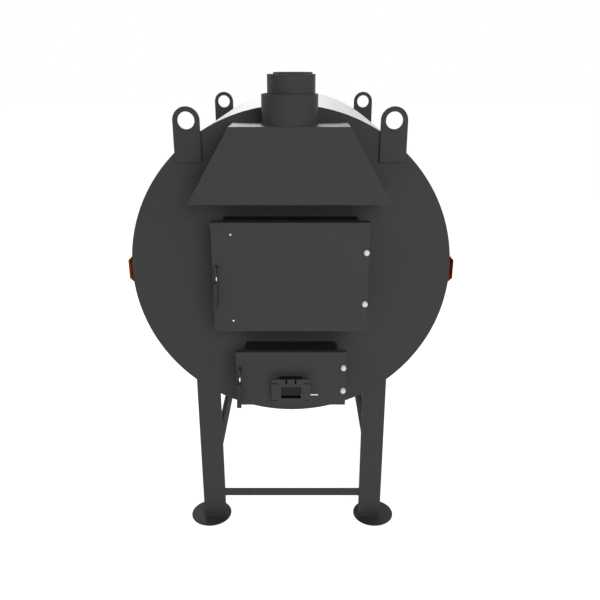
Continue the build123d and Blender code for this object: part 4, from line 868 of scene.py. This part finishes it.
# Liner screws: small zinc button heads on the left of the fuel door.
# The two on the right are blackened and sunk, so that only a dark dot shows.
SCREW_HEAD_R = 0.0035
SCREW_HEAD_H = 0.0015
SCREW_SHANK_R = 0.0020
BUTTON_HEAD = ((1.0, 0.0), (0.93, 0.55), (0.62, 1.0))
SOCKET_R = 0.0013
SOCKET_FLOOR_R = 0.00104
SOCKET_SHARE = 0.6
DARK_SCREW_R = 0.0024
DARK_SCREW_H = 0.0003


def screw(head_r, head_h, shank_end):
    """Round-headed screw on Z = 0 with a socket in its head and a shank below."""
    head = [(head_r * across, head_h * up) for across, up in BUTTON_HEAD]
    floor_h = head_h * (1.0 - SOCKET_SHARE)
    return turned([(0.0, shank_end), (SCREW_SHANK_R, shank_end), (SCREW_SHANK_R, 0.0)] + head
                  + [(SOCKET_R, head_h), (SOCKET_FLOOR_R, floor_h), (0.0, floor_h)], steps=24)


low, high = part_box("fuel_liner_screws")
door_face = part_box("fuel_door_panel")[0].y
for name, x, head_r, head_h, slot, material in (
        ("liner_screws_bright", low.x + SCREW_HEAD_R, SCREW_HEAD_R, SCREW_HEAD_H, "zinc", ZINC),
        ("liner_screws_dark", high.x - SCREW_HEAD_R, DARK_SCREW_R, DARK_SCREW_H, "black_steel",
         STOVE_BLACK)):
    parts = [(screw(head_r, head_h, door_face - high.y), Matrix.Translation((x, door_face, z)) @ TO_FRONT)
             for z in (low.z + SCREW_HEAD_R, high.z - SCREW_HEAD_R)]
    make_piece(join(parts), name, "fuel_door", material, ("fuel_liner_screws",))


# Latches: a hooked 6 mm lever, a zinc neck, a dark collar and a dark grip on each door.
# Each lever turns on a painted bolt through the door's side and hooks behind a keeper pin.
def grip_plastic():
    """Dark phenolic plastic with a faint satin."""
    material, tree, shader = new_material("grip plastic")
    place = object_place(tree)
    tone = mottle(tree, place, 45.0, (0.020, 0.020, 0.021), (0.026, 0.026, 0.026))
    tree.links.new(tone, shader.inputs["Base Color"])
    tree.links.new(spread(tree, noise(tree, place, 300.0), 0.42, 0.54), shader.inputs["Roughness"])
    shader.inputs["Specular IOR Level"].default_value = 0.2
    raise_surface(tree, shader, noise(tree, place, 800.0), strength=0.10, distance=0.0003)
    return material


GRIP_PLASTIC = grip_plastic()
NECK_H = 0.022
NECK_SINK = 0.001
COLLAR_R = 0.0048
COLLAR_FOOT = 0.007
GRIP_HALF_DEPTH = 0.0083
GRIP_DROP = 0.003
GRIP_CORNER_R = 0.0018
GRIP_RIM_R = 0.0006
GRIP_LEAN = Matrix.Rotation(radians(2.0), 4, "Y")
# The handles differ in their neck's radius and its shift to the right, in the heights of lock nut
# and collar, and in half the width of the grip.
for door, neck_r, neck_right, nut_h, collar_h, grip_half in (
        ("fuel", 0.0019, 0.0020, 0.0050, 0.0090, 0.0072), ("ash", 0.0028, 0.0012, 0.0, 0.0115, 0.0083)):
    rounded(f"{door}_latch_lever", "cut", CHARCOAL, width=0.0007)
    rounded(f"{door}_latch_bolt", "headed", CHARCOAL, width=0.0006)
    low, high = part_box(f"{door}_latch_handle")
    neck_top = Vector(((low.x + high.x) / 2, (low.y + high.y) / 2, high.z))
    neck_foot = high.z - NECK_H
    grip_foot, grip_top = low.z - GRIP_DROP, neck_foot - COLLAR_FOOT
    neck = turned([(0.0, neck_foot - EDGE), (neck_r, neck_foot - EDGE), (neck_r, high.z + NECK_SINK),
                   (0.0, high.z + NECK_SINK)])
    collar = turned([(0.0, grip_top - EDGE), (COLLAR_R, grip_top - EDGE),
                     (COLLAR_R, grip_top + collar_h - EDGE), (COLLAR_R - EDGE, grip_top + collar_h),
                     (0.0, grip_top + collar_h)])
    grip = bmesh.new()
    bmesh.ops.create_cube(grip, size=2.0)
    bmesh.ops.scale(grip, verts=grip.verts, vec=(grip_half, GRIP_HALF_DEPTH, (grip_top - grip_foot) / 2))
    bmesh.ops.translate(grip, verts=grip.verts, vec=(0.0, 0.0, (grip_top + grip_foot) / 2))
    upright = [edge for edge in grip.edges if edge.verts[0].co.z != edge.verts[1].co.z]
    round_over(grip, upright, GRIP_CORNER_R, 4)
    round_over(grip, sharp_edges(grip, SQUARE_ANGLE), GRIP_RIM_R, 2)
    pieces = [(neck, neck_right, "neck", ZINC), (collar, neck_right / 2, "collar", GRIP_PLASTIC),
              (grip, -neck_right / 2, "grip", GRIP_PLASTIC)]
    if nut_h:
        nut = turned([(0.0, high.z - nut_h), (COLLAR_R - EDGE, high.z - nut_h),
                      (COLLAR_R, high.z - nut_h + EDGE), (COLLAR_R, high.z), (0.0, high.z)])
        pieces.append((nut, neck_right, "lock_nut", STOVE_BLACK))
    for bm, right, part, material in pieces:
        hung = Matrix.Translation(neck_top) @ GRIP_LEAN @ Matrix.Translation((right, 0.0, -high.z))
        bmesh.ops.transform(bm, matrix=hung, verts=bm.verts)
        make_piece(bm, f"{door}_latch_{part}", f"{door}_latch", material,
                   (f"{door}_latch_handle",))
rounded("latch_keepers", "turned", STOVE_BLACK, width=0.0008)

# Damper: a square duct through the ash door with a slotted face plate, and a flap on a zinc rod.
# Duct and flap carry painted shade: their paints are darkened to stand for the shade they lie in.
# The rod is turned by its rounded right end.
PLATE_T = 0.0029
PLATE_BACK_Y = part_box("damper_housing")[0].y + PLATE_T


def split_housing(keep_front):
    """Cuts the housing behind its face plate and keeps the front or the rear part, closed again."""
    def cut(bm):
        """Cuts a copy of the housing."""
        whole = bm.verts[:] + bm.edges[:] + bm.faces[:]
        made = bmesh.ops.bisect_plane(bm, geom=whole, plane_co=(0.0, PLATE_BACK_Y, 0.0),
                                      plane_no=(0.0, 1.0, 0.0), clear_outer=keep_front,
                                      clear_inner=not keep_front)
        rim = [part for part in made["geom_cut"] if isinstance(part, bmesh.types.BMEdge)]
        bmesh.ops.triangle_fill(bm, edges=rim, use_beauty=True)
        bmesh.ops.recalc_face_normals(bm, faces=bm.faces)
    return cut


# Painted shade: the flap's paint is darkened to stand for the shade in the face plate's window.
FLAP_PAINTED_SHADE = sprayed("flap paint with painted shade", (0.018, 0.018, 0.0185), roughness=0.55, tone=0.06, sheen=0.08,
                     pebble=0.06)
rounded("damper_housing", "plate", CHARCOAL, width=0.0004, reshape=split_housing(True))
# Painted shade: the duct's paint is darkened near black to stand for the shade under the fuel door.
DUCT_PAINTED_SHADE = sprayed("duct paint with painted shade", (0.0075, 0.0075, 0.0078), roughness=0.60, tone=0.06, sheen=0.08,
                     pebble=0.06)
rounded("damper_housing", "duct", DUCT_PAINTED_SHADE, width=0.0004, reshape=split_housing(False))
rounded("damper_flap", "rolled", FLAP_PAINTED_SHADE, width=0.0003)
low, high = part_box("damper_rod")
ROD_R = 0.0025
ROD_SHORTER = 0.003
ROD_DROP = 0.0008
ROD_LENGTH = high.x - low.x - ROD_SHORTER
ROD_END_R = 0.0018
tip = [(ROD_R - ROD_END_R + ROD_END_R * cos(radians(turn)),
        ROD_LENGTH - ROD_END_R + ROD_END_R * sin(radians(turn))) for turn in (0, 30, 60, 90)]
rod = turned([(0.0, 0.0), (ROD_R - EDGE, 0.0), (ROD_R, EDGE)] + tip + [(0.0, ROD_LENGTH)])
rod_start = Vector((low.x, (low.y + high.y) / 2, (low.z + high.z) / 2 - ROD_DROP))
bmesh.ops.transform(rod, matrix=Matrix.Translation(rod_start) @ TO_RIGHT, verts=rod.verts)
make_piece(rod, "damper_rod_turned", "damper", ZINC, ("damper_rod",))

# Warm air outlet: a collar of galvanised sheet with a rolled bead that keeps the duct's clamp on.
# Its flange is screwed to the rear plate.
FLANGE_T = 0.004
SCREW_RING = 0.016
SCREW_COUNT = 10
SCREW_FLATS = 0.010
SCREW_H = 0.0055
SCREW_WASHER_R = 0.0062


def flange_screws(name, flange, radius):
    """Zinc hexagon screws with washers round a flange on the rear plate."""
    low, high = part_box(flange)
    centre = Vector(((low.x + high.x) / 2, REAR_Y + FLANGE_T, (low.z + high.z) / 2))
    parts = []
    for spot in circle_points(centre, radius, SCREW_COUNT, "Y"):
        place = Matrix.Translation(spot) @ TO_REAR
        disc = turned([(0.0, 0.0), (SCREW_WASHER_R, 0.0), (SCREW_WASHER_R, WASHER_T / 2),
                       (0.0, WASHER_T / 2)], steps=20)
        head = place @ Matrix.Translation((0.0, 0.0, WASHER_T / 2))
        parts += [(disc, place), (hexagon(SCREW_FLATS, SCREW_H, EDGE), head)]
    make_piece(join(parts), name, "heater", ZINC)


rounded("outlet_spigot", "flanged", GALVANISED, width=0.0008)
OUTLET_R = 0.200
BEAD_R = 0.0022
BEAD_SETBACK = 0.018
flange_screws("outlet_screws", "outlet_spigot", OUTLET_R + SCREW_RING)
low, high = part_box("outlet_spigot")
bead_middle = ((low.x + high.x) / 2, high.y - BEAD_SETBACK, (low.z + high.z) / 2)
bead = swept([circle_points(bead_middle, OUTLET_R - BEAD_R / 4, 120, "Y")], BEAD_R, True)
make_piece(bead, "outlet_bead", "heater", GALVANISED, corner=SOFT_CORNER)

# Fan ring and spider: a galvanised collar round the fan and four flat arms that carry the motor.
# The flange is screwed to the rear plate.
FAN_R = 0.210
rounded("fan_ring", "flanged", GALVANISED, width=0.0008)
rounded("fan_spider", "cut", GALVANISED, width=0.0006)
flange_screws("fan_ring_screws", "fan_ring", FAN_R + SCREW_RING)

# Fan guard: rings and spokes of 5 mm round wire, spot welded and painted black.
# Its outer band fits on the fan ring's mouth.
GUARD_WIRE_R = 0.0025
GUARD_RINGS = (0.180, 0.135, 0.090, 0.045)
GUARD_SPOKES = 8
BAND_T = 0.004
low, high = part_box("fan_guard")
fan_middle = Vector(((low.x + high.x) / 2, 0.0, (low.z + high.z) / 2))
ring_middle = fan_middle + Vector((0.0, low.y + 3 * GUARD_WIRE_R, 0.0))
spoke_middle = fan_middle + Vector((0.0, low.y + GUARD_WIRE_R, 0.0))
rings = [circle_points(ring_middle, radius, 96, "Y") for radius in GUARD_RINGS]
spokes = []
for i in range(GUARD_SPOKES // 2):
    angle = 2 * pi * i / GUARD_SPOKES
    reach = Vector((cos(angle), 0.0, sin(angle))) * (FAN_R - BAND_T / 2)
    spokes.append([spoke_middle - reach, spoke_middle + reach])
depth = high.y - low.y
band = turned([(FAN_R - BAND_T, 0.0), (FAN_R, 0.0), (FAN_R, depth - EDGE), (FAN_R - EDGE, depth),
               (FAN_R - BAND_T + EDGE, depth), (FAN_R - BAND_T, depth - EDGE)], 120, closed=True)
guard = join([(swept(rings, GUARD_WIRE_R, True), Matrix.Identity(4)),
              (swept(spokes, GUARD_WIRE_R, False), Matrix.Identity(4)),
              (band, Matrix.Translation(fan_middle + Vector((0.0, low.y, 0.0))) @ TO_REAR)])
GUARD_PAINT = sprayed("guard paint", (0.016, 0.016, 0.017), roughness=0.34, tone=0.05, sheen=0.4,
                      pebble=0.06)
make_piece(guard, "fan_guard_wires", "heater", GUARD_PAINT, ("fan_guard",),
           corner=SQUARE_ANGLE)

# Fan motor: a round die-cast housing with cooling fins along it and a rounded rear bell.
# It is bolted to the spider and enamelled in dark grey.
MOTOR_R = 0.058
MOTOR_CORE_R = 0.053
MOTOR_RIM = 0.011
MOTOR_BELL = 0.022
MOTOR_EDGE_R = 0.0097
FINS = 36
FIN_T = 0.0016
FIN_H = 0.006
MOTOR_STEP = 0.001
HOLLOW_R = 0.020
HOLLOW_FLOOR_R = 0.018
HOLLOW_DEPTH = 0.002
MOTOR_PAINT = sprayed("motor enamel", (0.085, 0.10, 0.12), roughness=0.33, tone=0.04, sheen=0.5,
                      pebble=0.08, grain=700.0)
low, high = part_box("fan_motor")
motor_start, motor_length = low.y, high.y - low.y
bell = [(MOTOR_R - MOTOR_EDGE_R + MOTOR_EDGE_R * cos(radians(turn)),
         motor_length - MOTOR_EDGE_R + MOTOR_EDGE_R * sin(radians(turn))) for turn in range(0, 91, 15)]
shell = turned([(0.0, 0.0), (MOTOR_R - EDGE, 0.0), (MOTOR_R, EDGE), (MOTOR_R, MOTOR_RIM),
                (MOTOR_CORE_R, MOTOR_RIM + MOTOR_STEP),
                (MOTOR_CORE_R, motor_length - MOTOR_BELL - MOTOR_STEP),
                (MOTOR_R, motor_length - MOTOR_BELL)] + bell
               + [(HOLLOW_R, motor_length), (HOLLOW_FLOOR_R, motor_length - HOLLOW_DEPTH),
                  (0.0, motor_length - HOLLOW_DEPTH)], steps=64)
motor_face = Matrix.Translation((fan_middle.x, motor_start, fan_middle.z))
parts = [(shell, motor_face @ TO_REAR)]
fin_length = motor_length - MOTOR_RIM - MOTOR_BELL
for i in range(FINS):
    fin = bmesh.new()
    bmesh.ops.create_cube(fin, size=1.0)
    bmesh.ops.scale(fin, verts=fin.verts, vec=(FIN_T, fin_length, FIN_H))
    crest = [edge for edge in fin.edges
             if all(vertex.co.z > 0.0 for vertex in edge.verts) and edge.calc_length() > FIN_H]
    round_over(fin, crest, FIN_T / 3, 2)
    out = Matrix.Rotation(2 * pi * (i + 0.5) / FINS, 4, "Y")
    rise = Matrix.Translation((0.0, MOTOR_RIM + fin_length / 2, MOTOR_R - FIN_H / 2 - EDGE))
    parts.append((fin, motor_face @ out @ rise))

# Terminal box and cable gland: a cast box on top of the motor, whose lid has four zinc screws.
# The gland is of black plastic and points to the right.
BOX_W = 0.060
BOX_L = 0.046
BOX_SINK = 0.0145
LID_T = 0.006
LID_SCREW_INSET = 0.007
GLAND_FLATS = 0.0156
GLAND_NUT_H = 0.005
GLAND_LENGTH = 0.020
box_foot, box_top = fan_middle.z + MOTOR_R - BOX_SINK, high.z
box_y = motor_start + motor_length / 2
for foot, top, edge_r in ((box_foot, box_top - LID_T, 0.003), (box_top - LID_T + EDGE, box_top, 0.0015)):
    block = bmesh.new()
    bmesh.ops.create_cube(block, size=1.0)
    bmesh.ops.scale(block, verts=block.verts, vec=(BOX_W, BOX_L, top - foot))
    round_over(block, list(block.edges), edge_r, 3)
    parts.append((block, Matrix.Translation((fan_middle.x, box_y, (foot + top) / 2))))
make_piece(join(parts), "fan_motor_finned", "heater", MOTOR_PAINT, ("fan_motor",))

gland_z = (fan_middle.z + MOTOR_R + box_top) / 2
gland_root = Matrix.Translation((fan_middle.x + BOX_W / 2, box_y, gland_z)) @ TO_RIGHT
cap = turned([(0.0, GLAND_NUT_H), (0.0070, GLAND_NUT_H), (0.0070, 0.008), (0.0086, 0.008),
              (0.0086, 0.014), (0.0068, 0.0185), (0.0050, GLAND_LENGTH), (0.0035, GLAND_LENGTH),
              (0.0035, 0.015), (0.0, 0.015)], steps=24)
gland = join([(hexagon(GLAND_FLATS, GLAND_NUT_H, chamfer=0.0006), gland_root), (cap, gland_root)])
make_piece(gland, "cable_gland", "heater", GUARD_PAINT, ("fan_motor",))
screw_x, screw_y = BOX_W / 2 - LID_SCREW_INSET, BOX_L / 2 - LID_SCREW_INSET
heads = [(screw(head_r=0.0030, head_h=0.0012, shank_end=-0.002),
          Matrix.Translation((fan_middle.x + x, box_y + y, box_top)))
         for x in (-screw_x, screw_x) for y in (-screw_y, screw_y)]
make_piece(join(heads), "terminal_box_screws", "heater", ZINC)


# Fan shaft and impeller: a zinc plated shaft and six pitched blades cast in one with their hub.
# The aluminium is blasted, so it is matt with a fine grain.
def cast_aluminium():
    """Blasted aluminium casting."""
    material, tree, shader = new_material("cast aluminium")
    place = object_place(tree)
    tone = mottle(tree, place, 35.0, (0.50, 0.51, 0.52), (0.60, 0.61, 0.61), 4.0)
    tree.links.new(tone, shader.inputs["Base Color"])
    tree.links.new(spread(tree, noise(tree, place, 260.0), 0.42, 0.58), shader.inputs["Roughness"])
    shader.inputs["Metallic"].default_value = 1.0
    raise_surface(tree, shader, noise(tree, place, 900.0), strength=0.25, distance=0.0003)
    return material


rounded("fan_shaft", "ground", ZINC, width=0.0008)
rounded("fan_impeller", "cast", cast_aluminium(), width=0.0012, segments=3)
